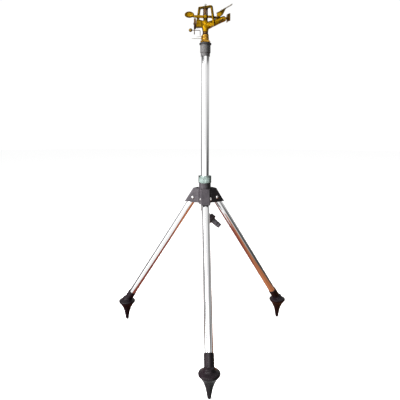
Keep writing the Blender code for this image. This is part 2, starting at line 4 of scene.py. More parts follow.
import bmesh
import bpy
from mathutils import Matrix, Vector


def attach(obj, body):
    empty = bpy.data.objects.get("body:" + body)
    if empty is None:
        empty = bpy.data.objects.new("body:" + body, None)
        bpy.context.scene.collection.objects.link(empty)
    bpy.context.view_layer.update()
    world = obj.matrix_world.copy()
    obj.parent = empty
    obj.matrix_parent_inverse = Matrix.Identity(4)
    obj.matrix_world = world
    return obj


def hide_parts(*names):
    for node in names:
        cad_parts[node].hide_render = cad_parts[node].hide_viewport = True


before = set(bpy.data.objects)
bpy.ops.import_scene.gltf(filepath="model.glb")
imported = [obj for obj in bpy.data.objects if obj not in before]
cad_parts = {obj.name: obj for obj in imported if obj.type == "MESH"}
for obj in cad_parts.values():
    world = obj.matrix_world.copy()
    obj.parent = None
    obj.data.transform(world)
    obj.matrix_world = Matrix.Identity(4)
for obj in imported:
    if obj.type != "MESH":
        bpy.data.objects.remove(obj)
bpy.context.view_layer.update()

scene = bpy.context.scene
MM = 0.001

# ---------------------------------------------------------------- main places (mm, from the riser's axis)
AXIS_Y = 71.0
RISER_R, RISER_BORE, RISER_BOTTOM = 11.3, 9.9, 383.0
H = 850.6
HUB_R, HUB_BORE, HUB_BOTTOM, HUB_TOP = 17.0, 13.7, 402.0, 462.0
NECK_R, NECK_TOP = 14.9, 474.0
COLLAR_R, COLLAR_TOP = 18.4, 482.6
LEG_AZ = {"front": -90.0, "right": 30.0, "left": 150.0}
PIVOT_R, PIVOT_Z = 36.0, 419.0
BOLT_R, BOLT_Z = 32.6, 419.6
LEG_R, LEG_BORE, LEG_END = 10.5, 9.1, 416.0
FOOT_R, DISC_R = 282.5, 25.8
CHANNEL_IN, CHANNEL_OUT = 11.15, 12.65
INLET_AZ, INLET_TILT, INLET_Z = -18.0, 38.0, 374.0
BARREL_TILT, BARREL_Z, BRIDGE_AZ = 23.0, 45.5, -30.0
LEG_D = Vector((271.1 - PIVOT_R, 80.0 - PIVOT_Z)).normalized()
LEG_N = Vector((-LEG_D.y, LEG_D.x))


# ================================================================ materials
def new_mat(name):
    m = bpy.data.materials.new(name)
    m.use_nodes = True
    nt = m.node_tree
    return m, nt, nt.nodes["Principled BSDF"]


def coords(nt, scale=(1, 1, 1)):
    tc = nt.nodes.new("ShaderNodeTexCoord")
    mp = nt.nodes.new("ShaderNodeMapping")
    mp.inputs["Scale"].default_value = scale
    nt.links.new(tc.outputs["Object"], mp.inputs["Vector"])
    return mp.outputs["Vector"]


def noise(nt, vec, scale, detail=4.0, rough=0.55):
    n = nt.nodes.new("ShaderNodeTexNoise")
    n.inputs["Scale"].default_value = scale
    n.inputs["Detail"].default_value = detail
    n.inputs["Roughness"].default_value = rough
    nt.links.new(vec, n.inputs["Vector"])
    return n.outputs["Fac"]


def ramp(nt, fac, stops):
    r = nt.nodes.new("ShaderNodeValToRGB")
    el = r.color_ramp.elements
    while len(el) < len(stops):
        el.new(0.5)
    for e, (p, c) in zip(el, stops):
        e.position = p
    for e, (p, c) in zip(el, stops):
        e.color = (*c, 1.0) if len(c) == 3 else c
    nt.links.new(fac, r.inputs["Fac"])
    return r.outputs["Color"]


def to_range(nt, fac, a, b, lo=0.3, hi=0.7):
    n = nt.nodes.new("ShaderNodeMapRange")
    n.inputs["From Min"].default_value = lo
    n.inputs["From Max"].default_value = hi
    n.inputs["To Min"].default_value = a
    n.inputs["To Max"].default_value = b
    nt.links.new(fac, n.inputs["Value"])
    return n.outputs["Result"]


def mix(nt, fac, a, b):
    n = nt.nodes.new("ShaderNodeMix")
    n.data_type = "RGBA"
    if isinstance(fac, float):
        n.inputs[0].default_value = fac
    else:
        nt.links.new(fac, n.inputs[0])
    for sock, v in ((n.inputs[6], a), (n.inputs[7], b)):
        if isinstance(v, tuple):
            sock.default_value = (*v, 1.0)
        else:
            nt.links.new(v, sock)
    return n.outputs[2]


def bump(nt, shader, height, strength, distance, below=None):
    b = nt.nodes.new("ShaderNodeBump")
    b.inputs["Strength"].default_value = strength
    b.inputs["Distance"].default_value = distance
    nt.links.new(height, b.inputs["Height"])
    if below is not None:
        nt.links.new(below, b.inputs["Normal"])
    nt.links.new(b.outputs["Normal"], shader.inputs["Normal"])
    return b.outputs["Normal"]


# ambient occlusion mask, 1 in hollows and crevices where light is blocked: used to paint shade into the colour
def cavity(nt, distance, lo, hi):
    ao = nt.nodes.new("ShaderNodeAmbientOcclusion")
    ao.samples = 6
    ao.inputs["Distance"].default_value = distance
    return to_range(nt, ao.outputs["AO"], 1.0, 0.0, lo, hi)


def metal(name, light, dark, hollow_patina_and_shade, rough=(0.2, 0.36), grain=900.0, bump_d=0.00004, bump_s=0.35, cav=(0.25, 0.85), patch=70.0, cav_d=0.006, stain_and_shade=None):
    """Cast or drawn metal: tone patches, recesses darkened by patina and by painted shade from ambient occlusion, fine
    surface grain.
    """
    m, nt, sh = new_mat(name)
    vec = coords(nt)
    tone = noise(nt, vec, patch, 5.0)
    base = ramp(nt, tone, [(0.32, dark), (0.66, light)])
    # marked areas mixed towards the dark stain colour: partly patina, partly painted shade
    if stain_and_shade is not None:
        mask = nt.nodes.new("ShaderNodeAttribute")
        mask.attribute_name = "stain_and_shade"
        mul = nt.nodes.new("ShaderNodeMath")
        mul.operation = "MULTIPLY"
        nt.links.new(mask.outputs["Fac"], mul.inputs[0])
        nt.links.new(to_range(nt, noise(nt, vec, 240.0, 4.0), 0.72, 1.0), mul.inputs[1])
        base = mix(nt, mul.outputs[0], base, stain_and_shade)
    # hollows mixed towards the dark hollow colour: partly patina, partly painted shade
    c = cavity(nt, cav_d, *cav)
    col = mix(nt, c, base, hollow_patina_and_shade)
    nt.links.new(col, sh.inputs["Base Color"])
    sh.inputs["Metallic"].default_value = 1.0
    fine = noise(nt, vec, grain, 3.0)
    r = nt.nodes.new("ShaderNodeMath")
    r.operation = "ADD"
    nt.links.new(to_range(nt, fine, rough[0], rough[1]), r.inputs[0])
    nt.links.new(to_range(nt, c, 0.0, 0.22, 0.0, 1.0), r.inputs[1])
    nt.links.new(r.outputs[0], sh.inputs["Roughness"])
    first = bump(nt, sh, fine, bump_s, bump_d)
    bump(nt, sh, tone, 0.25, 0.0003, first)
    return m


def chrome(name="bright_plate"):
    m, nt, sh = new_mat(name)
    vec = coords(nt)
    along = coords(nt, (1, 1, 0.03))
    tone = noise(nt, vec, 9.0, 3.0)
    base = ramp(nt, tone, [(0.3, (0.90, 0.90, 0.905)), (0.7, (0.96, 0.96, 0.965))])
    nt.links.new(base, sh.inputs["Base Color"])
    sh.inputs["Metallic"].default_value = 1.0
    streak = noise(nt, along, 700.0, 3.0)
    nt.links.new(to_range(nt, streak, 0.045, 0.13), sh.inputs["Roughness"])
    bump(nt, sh, streak, 0.10, 0.00001)
    return m


def plastic(name, base, lift, rough=(0.16, 0.34), grain=420.0, coat=0.25, spec=0.5, stain_and_shade=None):
    m, nt, sh = new_mat(name)
    vec = coords(nt)
    tone = noise(nt, vec, 38.0, 4.0)
    colour = ramp(nt, tone, [(0.3, base), (0.72, lift)])
    # marked areas mixed towards the stain colour: painted shade
    if stain_and_shade is not None:
        mask = nt.nodes.new("ShaderNodeAttribute")
        mask.attribute_name = "stain_and_shade"
        colour = mix(nt, mask.outputs["Fac"], colour, stain_and_shade)
    nt.links.new(colour, sh.inputs["Base Color"])
    fine = noise(nt, vec, grain, 4.0)
    nt.links.new(to_range(nt, fine, rough[0], rough[1]), sh.inputs["Roughness"])
    sh.inputs["IOR"].default_value = 1.5
    sh.inputs["Specular IOR Level"].default_value = spec
    sh.inputs["Coat Weight"].default_value = coat
    sh.inputs["Coat Roughness"].default_value = 0.12
    first = bump(nt, sh, fine, 0.20, 0.00005)
    bump(nt, sh, tone, 0.12, 0.0004, first)
    return m


def painted_steel(name="black_coat"):
    m, nt, sh = new_mat(name)
    vec = coords(nt)
    tone = noise(nt, vec, 45.0, 4.0)
    base = ramp(nt, tone, [(0.3, (0.026, 0.022, 0.026)), (0.72, (0.052, 0.045, 0.051))])
    geo = nt.nodes.new("ShaderNodeNewGeometry")
    edge = to_range(nt, geo.outputs["Pointiness"], 0.0, 1.0, 0.53, 0.60)
    wear = noise(nt, vec, 160.0, 5.0)
    mul = nt.nodes.new("ShaderNodeMath")
    mul.operation = "MULTIPLY"
    nt.links.new(edge, mul.inputs[0])
    nt.links.new(to_range(nt, wear, 0.0, 0.8, 0.45, 0.65), mul.inputs[1])
    nt.links.new(mix(nt, mul.outputs[0], base, (0.16, 0.155, 0.16)), sh.inputs["Base Color"])
    peel = noise(nt, vec, 520.0, 2.0)
    nt.links.new(to_range(nt, peel, 0.26, 0.42), sh.inputs["Roughness"])
    sh.inputs["Specular IOR Level"].default_value = 0.35
    bump(nt, sh, peel, 0.35, 0.00008)
    return m


# the third colour darkens hollows and the stain colour darkens the marked areas: dark olive patina together with
# painted shade
BRASS = metal("cast_brass", (0.42, 0.222, 0.004), (0.20, 0.104, 0.002), (0.028, 0.010, 0.002), rough=(0.20, 0.34), patch=95.0, cav=(0.42, 0.97), cav_d=0.007, stain_and_shade=(0.034, 0.024, 0.003))
BRASS_TURNED = metal("turned_brass", (0.66, 0.36, 0.05), (0.40, 0.20, 0.02), (0.04, 0.018, 0.003), rough=(0.15, 0.26), patch=70.0, cav=(0.45, 0.98), cav_d=0.005)
BRASS_DARK = metal("aged_brass", (0.34, 0.21, 0.035), (0.15, 0.085, 0.014), (0.03, 0.015, 0.005), rough=(0.26, 0.42))
BRASS_STAIN = metal("heat_stained_brass", (0.13, 0.065, 0.010), (0.045, 0.020, 0.004), (0.015, 0.006, 0.002), rough=(0.28, 0.44))
BRONZE = metal("stained_bronze", (0.10, 0.055, 0.022), (0.030, 0.015, 0.008), (0.010, 0.005, 0.003), rough=(0.28, 0.46))
SPRING = metal("spring_wire", (0.30, 0.15, 0.045), (0.11, 0.05, 0.018), (0.012, 0.006, 0.003), rough=(0.22, 0.38), cav_d=0.003)
STEEL = metal("bright_steel", (0.80, 0.79, 0.78), (0.60, 0.59, 0.58), (0.16, 0.15, 0.14), rough=(0.16, 0.30))
WIRE = metal("dull_wire", (0.46, 0.45, 0.40), (0.28, 0.27, 0.23), (0.10, 0.09, 0.07), rough=(0.30, 0.45))
PLATE = metal("flap_steel", (0.60, 0.56, 0.50), (0.42, 0.38, 0.33), (0.14, 0.12, 0.10), rough=(0.26, 0.40), patch=120.0)
ZINC = metal("zinc_plate", (0.40, 0.49, 0.46), (0.20, 0.26, 0.24), (0.02, 0.04, 0.02), rough=(0.14, 0.26), patch=160.0, cav=(0.45, 0.98), cav_d=0.003)
CHROME = chrome()
BLACK_STEEL = painted_steel()
BLACK_PLASTIC = plastic("black_moulding", (0.003, 0.001, 0.002), (0.009, 0.005, 0.007), rough=(0.20, 0.34), coat=0.0, spec=0.24)
NIPPLE_PLASTIC = plastic("nipple_moulding", (0.018, 0.014, 0.019), (0.034, 0.028, 0.036), rough=(0.24, 0.38), coat=0.0, spec=0.7)
# the near-black stain colour is painted shade on the flange
ADAPTER_PLASTIC = plastic("satin_moulding", (0.052, 0.050, 0.050), (0.080, 0.077, 0.078), rough=(0.34, 0.50), coat=0.0, spec=0.60, stain_and_shade=(0.004, 0.003, 0.004))
NYLON = plastic("natural_nylon", (0.62, 0.62, 0.58), (0.74, 0.74, 0.70), rough=(0.38, 0.55), coat=0.0, spec=0.4)
DARK_NYLON = plastic("dark_nylon", (0.012, 0.008, 0.005), (0.028, 0.020, 0.013), rough=(0.38, 0.55), coat=0.0, spec=0.3)
RUBBER = plastic("seal_rubber", (0.012, 0.012, 0.012), (0.03, 0.03, 0.03), rough=(0.55, 0.75), coat=0.0, spec=0.3)


# ================================================================ mesh helpers
def polar(r, z, az):
    a = math.radians(az)
    return Vector((r * math.cos(a), r * math.sin(a), z))


def basis(axis, up=None):
    z = Vector(axis).normalized()
    u = Vector(up) if up is not None else (Vector((0, 0, 1)) if abs(z.z) < 0.9 else Vector((1, 0, 0)))
    x = (u - z * u.dot(z)).normalized()
    y = z.cross(x)
    return Matrix((x, y, z)).transposed()


def outward(bm):
    bmesh.ops.recalc_face_normals(bm, faces=bm.faces[:])
    return bm


def rounded(points, r=0.4, seg=3, closed=None):
    """Rounds the corners of a turned profile; points may carry their own radius."""
    if closed is None:
        closed = points[0][0] > 1e-6
    n, out = len(points), []
    for i, p in enumerate(points):
        rad = p[2] if len(p) > 2 else r
        q = Vector(p[:2])
        if not closed and i in (0, n - 1) or rad <= 0:
            out.append((q.x, q.y))
            continue
        a, b = Vector(points[i - 1][:2]) - q, Vector(points[(i + 1) % n][:2]) - q
        la, lb = a.length, b.length
        if la < 1e-6 or lb < 1e-6:
            out.append((q.x, q.y))
            continue
        a, b = a / la, b / lb
        ang = a.angle(b)
        if ang > math.radians(172):
            out.append((q.x, q.y))
            continue
        t = min(rad / math.tan(ang / 2), la * 0.45, lb * 0.45)
        p0, p1 = q + a * t, q + b * t
        for k in range(seg + 1):
            f = k / seg
            c = p0 * (1 - f) ** 2 + q * 2 * f * (1 - f) + p1 * f ** 2
            out.append((c.x, c.y))
    return out


def spline(points, steps=6):
    """Catmull-Rom through a list of 2-D or 3-D points."""
    pts = [Vector(p) for p in points]
    out = []
    for i in range(len(pts) - 1):
        p0, p1, p2, p3 = pts[max(i - 1, 0)], pts[i], pts[i + 1], pts[min(i + 2, len(pts) - 1)]
        for k in range(steps):
            t = k / steps
            out.append(0.5 * (2 * p1 + (p2 - p0) * t + (2 * p0 - 5 * p1 + 4 * p2 - p3) * t * t + (3 * p1 - p0 - 3 * p2 + p3) * t ** 3))
    out.append(pts[-1])
    return out


def revolve(profile, n=72, at=(0, 0, 0), axis=(0, 0, 1), up=None, start=0.0, stretch=(1, 1), shape=None):
    bm = bmesh.new()
    rot, at = basis(axis, up), Vector(at)
    rings = []
    for r, h in profile:
        if r <= 1e-6:
            rings.append([bm.verts.new(at + rot @ Vector((0, 0, h)))])
            continue
        ring = []
        for i in range(n):
            a = 2 * math.pi * i / n + start
            rr = shape(r, h, a) if shape else r
            ring.append(bm.verts.new(at + rot @ Vector((rr * math.cos(a) * stretch[0], rr * math.sin(a) * stretch[1], h))))
        rings.append(ring)
    closed = profile[0][0] > 1e-6
    for a, b in list(zip(rings, rings[1:])) + ([(rings[-1], rings[0])] if closed else []):
        for i in range(n):
            j = (i + 1) % n
            if len(a) == 1 and len(b) == 1:
                continue
            if len(a) == 1:
                bm.faces.new((a[0], b[j], b[i]))
            elif len(b) == 1:
                bm.faces.new((a[i], a[j], b[0]))
            else:
                bm.faces.new((a[i], a[j], b[j], b[i]))
    return outward(bm)


def drill(r, h0, h1, at=(0, 0, 0), axis=(0, 0, 1), n=40):
    return revolve([(0, h0), (r, h0), (r, h1), (0, h1)], n, at, axis, start=0.031)


def loft(rings):
    """Joins equal rings of points into a closed body."""
    bm = bmesh.new()
    vs = [[bm.verts.new(p) for p in ring] for ring in rings]
    n = len(vs[0])
    for a, b in zip(vs, vs[1:]):
        for i in range(n):
            j = (i + 1) % n
            bm.faces.new((a[i], a[j], b[j], b[i]))
    bm.faces.new(vs[0][::-1])
    bm.faces.new(vs[-1])
    return outward(bm)


def prism(points, h0, h1, at=(0, 0, 0), axis=(0, 0, 1), up=None):
    rot, at = basis(axis, up), Vector(at)
    return loft([[at + rot @ Vector((x, y, h)) for x, y in points] for h in (h0, h1)])


def side_prism(points, y0, y1, az=0.0):
    a = math.radians(az)
    e, t = Vector((math.cos(a), math.sin(a), 0)), Vector((-math.sin(a), math.cos(a), 0))
    return loft([[e * r + Vector((0, 0, z)) + t * y for r, z in points] for y in (y0, y1)])


def rod(path, r, n=16, round_ends=True, taper=None):
    """A round wire along a path, with domed ends."""
    path = [Vector(p) for p in path]
    rings, side = [], None
    count = len(path)
    for i, p in enumerate(path):
        a, b = path[max(i - 1, 0)], path[min(i + 1, count - 1)]
        t = (b - a).normalized()
        if side is None:
            side = basis(t) @ Vector((1, 0, 0))
        side = (side - t * side.dot(t)).normalized()
        other = t.cross(side)
        rr = r * (taper(i / (count - 1)) if taper else 1.0)
        circle = [(side * math.cos(2 * math.pi * k / n) + other * math.sin(2 * math.pi * k / n)) for k in range(n)]
        if round_ends and i == 0:
            for f, s in ((1.0, 0.25), (0.75, 0.72)):
                rings.append([p + t * (rr * (1 - f) * 0.0) - t * 0 + c * rr * s + t * rr * (0.0 if f == 1.0 else 0.25) for c in circle])
            rings.append([p + t * rr * 0.7 + c * rr for c in circle])
        elif round_ends and i == count - 1:
            rings.append([p - t * rr * 0.7 + c * rr for c in circle])
            for s, d in ((0.72, 0.25), (0.25, 0.0)):
                rings.append([p - t * rr * d + c * rr * s for c in circle])
        else:
            rings.append([p + c * rr for c in circle])
    return loft(rings)


def coil_path(r, wire, z0, z1, turns, n=36, phase=0.0):
    steps = int(turns * n)
    out = []
    for i in range(steps + 1):
        f = i / steps
        a = 2 * math.pi * turns * f + phase
        lead = 1.05 / turns
        if f < lead:
            g = 0.0 + f / lead * (2 * wire)
        elif f > 1 - lead:
            g = (z1 - z0 - 2 * wire) - (1 - f) / lead * (2 * wire)
        else:
            s = (f - lead) / (1 - 2 * lead)
            g = 2 * wire + s * (z1 - z0 - 6 * wire)
        out.append((r * math.cos(a), r * math.sin(a), z0 + wire + g))
    return out


def merge(*parts):
    out = bmesh.new()
    for p in parts:
        me = bpy.data.meshes.new("part")
        p.to_mesh(me)
        p.free()
        out.from_mesh(me)
        bpy.data.meshes.remove(me)
    return out


def bake(ob):
    graph = bpy.context.evaluated_depsgraph_get()
    me = bpy.data.meshes.new_from_object(ob.evaluated_get(graph))
    old = ob.data
    bpy.data.objects.remove(ob, do_unlink=True)
    bpy.data.meshes.remove(old)
    out = bmesh.new()
    out.from_mesh(me)
    bpy.data.meshes.remove(me)
    return out


def temp(bm):
    me = bpy.data.meshes.new("temp")
    bm.to_mesh(me)
    bm.free()
    ob = bpy.data.objects.new("temp", me)
    scene.collection.objects.link(ob)
    return ob


def boolean(base, tools, operation):
    for tool in tools:
        ob, cutter = temp(base), temp(tool)
        mod = ob.modifiers.new("Boolean", "BOOLEAN")
        mod.operation = operation
        mod.solver = "EXACT"
        mod.object = cutter
        base = bake(ob)
        old = cutter.data
        bpy.data.objects.remove(cutter, do_unlink=True)
        bpy.data.meshes.remove(old)
    return base


def cut(base, *tools):
    return boolean(base, tools, "DIFFERENCE")


def join(base, *tools):
    return boolean(base, tools, "UNION")


def common(base, *tools):
    return boolean(base, tools, "INTERSECT")


def cast(parts, voxel=0.4, smooth=6, factor=0.5):
    """Blends overlapping bodies into one cast surface with soft fillets."""
    bm = merge(*parts)
    lo = Vector([min(v.co[i] for v in bm.verts) for i in range(3)])
    bmesh.ops.translate(bm, verts=bm.verts[:], vec=-lo)
    ob = temp(bm)
    rm = ob.modifiers.new("Remesh", "REMESH")
    rm.mode = "VOXEL"
    rm.voxel_size = voxel
    sm = ob.modifiers.new("Smooth", "SMOOTH")
    sm.factor = factor
    sm.iterations = smooth
    out = bake(ob)
    bmesh.ops.translate(out, verts=out.verts[:], vec=lo)
    return out


def copy_turned(bm, degrees):
    out = bm.copy()
    bmesh.ops.rotate(out, verts=out.verts[:], cent=(0, 0, 0), matrix=Matrix.Rotation(math.radians(degrees), 3, "Z"))
    return out


def piece(name, bm, mat, body, nodes, bevel=None, sharp=35.0, flat=False):
    bmesh.ops.transform(bm, matrix=Matrix.Scale(MM, 4) @ Matrix.Translation((0, AXIS_Y, 0)), verts=bm.verts[:])
    me = bpy.data.meshes.new(name)
    bm.to_mesh(me)
    bm.free()
    me.materials.append(mat)
    ob = bpy.data.objects.new(name, me)
    scene.collection.objects.link(ob)
    for p in me.polygons:
        p.use_smooth = True
        p.material_index = 0
    if bevel:
        b = ob.modifiers.new("Bevel", "BEVEL")
        b.width = bevel * MM
        b.segments = 3
        b.limit_method = "ANGLE"
        b.angle_limit = math.radians(38)
        b.harden_normals = True
        b.use_clamp_overlap = True
    me.set_sharp_from_angle(angle=math.radians(sharp))
    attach(ob, body)
    if nodes:
        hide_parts(*([nodes] if isinstance(nodes, str) else nodes))
    return ob


def restyle(node, mat):
    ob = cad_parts[node]
    for s in ob.material_slots:
        s.material = mat


def soft(v, a, b):
    t = min(max((v - a) / (b - a), 0.0), 1.0)
    return t * t * (3 - 2 * t)


def mark(bm, amount):
    """Store how strongly the patina and the painted shade show at each vertex."""
    layer = bm.verts.layers.float.new("stain_and_shade")
    for v in bm.verts:
        v[layer] = min(amount(v.co), 1.0)


def hexagon(r, turn=0.0):
    return [(r * math.cos(math.radians(60 * i + turn)), r * math.sin(math.radians(60 * i + turn))) for i in range(6)]


def chamfered_hex(r, h0, h1, turn=0.0, at=(0, 0, 0), axis=(0, 0, 1), chamfer=0.8, bore=None):
    """A hexagon with the turned chamfers of a real nut."""
    body = prism(hexagon(r, turn), h0, h1, at, axis)
    turned = revolve([(0, h0), (r * 0.90, h0), (r * 1.01, h0 + chamfer), (r * 1.01, h1 - chamfer), (r * 0.90, h1), (0, h1)], 60, at, axis, start=0.02)
    out = common(body, turned)
    if bore:
        out = cut(out, drill(bore, h0 - 1, h1 + 1, at, axis))
    return out


# ================================================================ stand
hub = revolve(rounded([(HUB_BORE, HUB_BOTTOM), (HUB_R, HUB_BOTTOM, 0.8), (HUB_R, HUB_TOP, 0.7), (NECK_R, HUB_TOP, 0.2), (NECK_R, NECK_TOP, 0.5), (HUB_BORE, NECK_TOP, 0.3)], 0.3, 4), 96)
piece("hub_shell", hub, BLACK_STEEL, "stand", "hub_tube")


def line_r(off, z):
    return PIVOT_R + (off - LEG_N.y * (z - PIVOT_Z)) / LEG_N.x


def bracket():
    """A pressed channel with bent corners, cut to a trapezium, with a lip."""
    az = -90.0
    e, t = polar(1, 0, az), polar(1, 0, az + 90)
    d = e * LEG_D.x + Vector((0, 0, LEG_D.y))
    nrm = e * LEG_N.x + Vector((0, 0, LEG_N.y))
    p0 = polar(PIVOT_R, PIVOT_Z, az)
    ro, ri = 2.6, 1.1

    def section(wide, high, r):
        pts = [(-wide, -60.0)]
        for k in range(7):
            a = math.radians(180 - 15 * k)
            pts.append((-wide + r + r * math.cos(a), high - r + r * math.sin(a)))
        for k in range(7):
            a = math.radians(90 - 15 * k)
            pts.append((wide - r + r * math.cos(a), high - r + r * math.sin(a)))
        pts.append((wide, -60.0))
        return pts

    def sweep(sec, a, b):
        return loft([[p0 + d * s + t * y + nrm * n for y, n in sec] for s in (a, b)])

    top, low = 447.0, 409.0
    outer = sweep(section(CHANNEL_OUT, 12.55, ro), -60, 60)
    trim = side_prism([(13.3, top), (60.0, top), (85.0, low), (58.0, low - 2.3), (34.0, low - 3.6), (13.3, low - 3.6)], -20, 20, az)
    shell = common(outer, trim)
    w = line_r(12.55, low)
    lip = side_prism([(w - 1.3, low + 1.2), (w + 0.6, low + 0.5), (w + 2.7, low - 0.9), (w + 2.3, low - 2.2), (w - 0.4, low - 1.4), (w - 1.6, low - 1.2)],
                     -CHANNEL_OUT + 1.6, CHANNEL_OUT - 1.6, az)
    shell = join(shell, lip)
    inner = sweep(section(CHANNEL_IN, 11.05, ri), -70, 70)
    hole = drill(3.3, -16, 16, polar(BOLT_R, BOLT_Z, az), t)
    return cut(shell, inner, hole)


shape = bracket()
for tag, az in LEG_AZ.items():
    piece("channel_" + tag, copy_turned(shape, az + 90), BLACK_STEEL, "stand", "bracket_" + tag, bevel=0.28, sharp=30)
shape.free()

random.seed(4)
for tag, az in LEG_AZ.items():
    # weld runs where the channel's cheeks meet the hub
    runs = []
    for s in (-1, 1):
        e, t = polar(1, 0, az), polar(1, 0, az + 90)
        pts = [e * 12.9 + t * s * (CHANNEL_OUT - 0.1) + Vector((0, 0, 405.5 + 1.1 * k)) + e * random.uniform(-0.12, 0.12) for k in range(36)]
        runs.append(rod(pts, 1.05, 10, taper=lambda f: 0.86 + 0.14 * math.cos(f * 36 * math.pi)))
    piece("weld_" + tag, merge(*runs), BLACK_STEEL, "stand", None, sharp=180)

    near = -1 if tag != "left" else 1
    axis, at = polar(1, 0, az + 90) * near, polar(BOLT_R, BOLT_Z, az)
    prof = [(0, -17.6), (2.5, -17.6), (3.0, -17.1)]
    z = -17.1
    while z < -12.9:
        prof += [(3.0, z), (2.62, z + 0.3)]
        z += 0.6
    prof += [(3.0, -12.4), (3.0, 12.9), (4.55, 12.95), (4.6, 13.2), (4.6, 13.9), (4.3, 14.7), (3.6, 15.5), (2.6, 16.1), (1.4, 16.45), (0, 16.55)]
    piece("pin_" + tag, revolve(prof, 40, at, axis), STEEL, "stand", "pivot_bolt_" + tag, sharp=40)
    piece("nut_" + tag, chamfered_hex(5.5, -16.6, -12.95, 10.0, at, axis, 0.7, 3.25), STEEL, "stand", "pivot_nut_" + tag, bevel=0.12)

# ================================================================ clamp collar
LOBES = 30


def ribs(r, h, a):
    if r < 17.0 or h < HUB_TOP + 2.0 or h > COLLAR_TOP - 2.4:
        return r
    return r - 0.85 * (0.5 - 0.5 * math.cos(LOBES * a)) ** 0.7


prof = rounded([(15.25, HUB_TOP + 0.4), (COLLAR_R, HUB_TOP + 0.4, 0.5), (COLLAR_R, HUB_TOP + 1.9, 0.15), (COLLAR_R - 0.15, HUB_TOP + 2.2, 0.1), (COLLAR_R - 0.1, HUB_TOP + 3.4, 0.1)], 0.2, 3, closed=False)
prof += [(COLLAR_R - 0.1, HUB_TOP + 3.4 + k * 1.9) for k in range(1, 10)]
prof += rounded([(COLLAR_R - 0.1, COLLAR_TOP - 3.0), (COLLAR_R - 0.15, COLLAR_TOP - 2.5, 0.1), (COLLAR_R, COLLAR_TOP - 2.2, 0.15), (COLLAR_R, COLLAR_TOP - 0.9, 0.4), (COLLAR_R - 1.1, COLLAR_TOP, 0.5), (12.4, COLLAR_TOP, 0.3), (11.95, COLLAR_TOP - 0.5, 0.2),
                 (11.95, COLLAR_TOP - 3.3, 0.2), (15.25, COLLAR_TOP - 4.9, 0.2)], 0.2, 3, closed=False)
piece("clamp_collar", revolve(prof, LOBES * 8, shape=ribs), ZINC, "collar", "lock_collar", sharp=45)
restyle("clamp_collet", NYLON)

# ================================================================ legs
az = -90.0
pivot = polar(PIVOT_R, PIVOT_Z, az)
direction = polar(LEG_D.x, LEG_D.y, az)
across = polar(1, 0, az + 90)
tube = revolve(rounded([(LEG_BORE, 12.0), (LEG_R, 12.0, 0.5), (LEG_R, 60), (LEG_R, 120), (LEG_R, 200), (LEG_R, 280), (LEG_R, 350), (LEG_R, LEG_END, 0.5), (LEG_BORE, LEG_END)], 0.3, 4), 80, pivot, direction)
dome = [(LEG_R * math.sin(math.radians(t)), -LEG_R * math.cos(math.radians(t))) for t in range(0, 91, 9)]
dome[0] = (0, -LEG_R)
eye = revolve(dome + rounded([(LEG_R, 6), (LEG_R, 11.7, 0.4), (8.8, 11.7, 0.2), (8.8, 26.0, 0.5), (0, 26.6)], 0.3, 3, closed=False), 64, pivot, direction)
eye = cut(eye, drill(3.35, -20, 20, polar(BOLT_R, BOLT_Z, az), across))
spike_pts = [(0, 0), (1.5, 0.25), (2.7, 0.9), (3.8, 2.2), (4.6, 4.2), (5.3, 8.0), (6.0, 12.0), (6.9, 17.5), (7.9, 23.0), (9.2, 28.5), (10.9, 33.5), (12.9, 38.8), (15.2, 43.6),
             (17.9, 48.4), (20.8, 52.6), (23.6, 55.8), (25.3, 58.2), (25.8, 60.2), (25.8, 61.8), (25.2, 63.2), (23.6, 64.6), (20.4, 66.2), (17.2, 68.0), (14.9, 70.4), (13.2, 73.0), (12.2, 75.5), (8.0, 77.0), (0, 77.4)]
spike = revolve(spike_pts, 96, polar(FOOT_R, 0, az))
sleeve = revolve(rounded([(0, LEG_END - 24.0), (12.1, LEG_END - 24.0, 0.8), (12.1, LEG_END + 10.0), (9.0, LEG_END + 15.0), (0, LEG_END + 15.0)], 0.5, 4, closed=False), 72, pivot, direction)
foot = cast([spike, sleeve], 0.55, 10)
foot = cut(foot, drill(10.8, LEG_END - 40, LEG_END + 0.4, pivot, direction, 64))
for tag, a in LEG_AZ.items():
    body = "leg_" + tag
    piece("tube_" + tag, copy_turned(tube, a + 90), CHROME, body, "leg_tube_" + tag, sharp=50)
    piece("eye_" + tag, copy_turned(eye, a + 90), BLACK_PLASTIC, body, "leg_eye_" + tag, bevel=0.2, sharp=40)
    piece("spiked_foot_" + tag, copy_turned(foot, a + 90), BLACK_PLASTIC, body, "foot_" + tag, sharp=50)
for s in (tube, eye, foot):
    s.free()

# ================================================================ riser
piece("riser_pipe", revolve(rounded([(RISER_BORE, RISER_BOTTOM), (RISER_R, RISER_BOTTOM, 0.4), (RISER_R, 450), (RISER_R, 520), (RISER_R, 600), (RISER_R, 700), (RISER_R, 780), (RISER_R, H - 20.3, 0.4), (RISER_BORE, H - 20.3)], 0.3, 3), 96),
      CHROME, "riser", "riser_tube", sharp=50)
adapter = revolve(rounded([(11.6, H - 35.6, 0.3), (12.8, H - 35.6, 0.5), (12.8, H - 28.4), (12.8, H - 27.6, 0.6), (14.2, H - 26.2, 0.8), (14.5, H - 24.6, 0.5), (14.5, H - 14.0), (14.5, H - 5.4, 0.4), (14.8, H - 4.4, 0.5),
                                            (16.8, H - 3.9, 0.5), (16.8, H - 0.2, 0.6), (16.3, H, 0.2), (10.4, H, 0.3), (10.4, H - 18.4), (8.8, H - 18.4), (8.8, H - 20.0), (11.6, H - 20.0)], 0.3, 4), 96)
# the flange at the top is darkened almost to black: painted shade
mark(adapter, lambda p: 0.92 * soft(p.z, H - 5.6, H - 4.8))
piece("threaded_adapter", adapter, ADAPTER_PLASTIC, "riser", "riser_adapter", sharp=40)
i_dir = Vector((math.cos(math.radians(INLET_AZ)) * math.cos(math.radians(INLET_TILT)),
                math.sin(math.radians(INLET_AZ)) * math.cos(math.radians(INLET_TILT)), -math.sin(math.radians(INLET_TILT))))
i_at = Vector((0, 0, INLET_Z))
E = RISER_BOTTOM
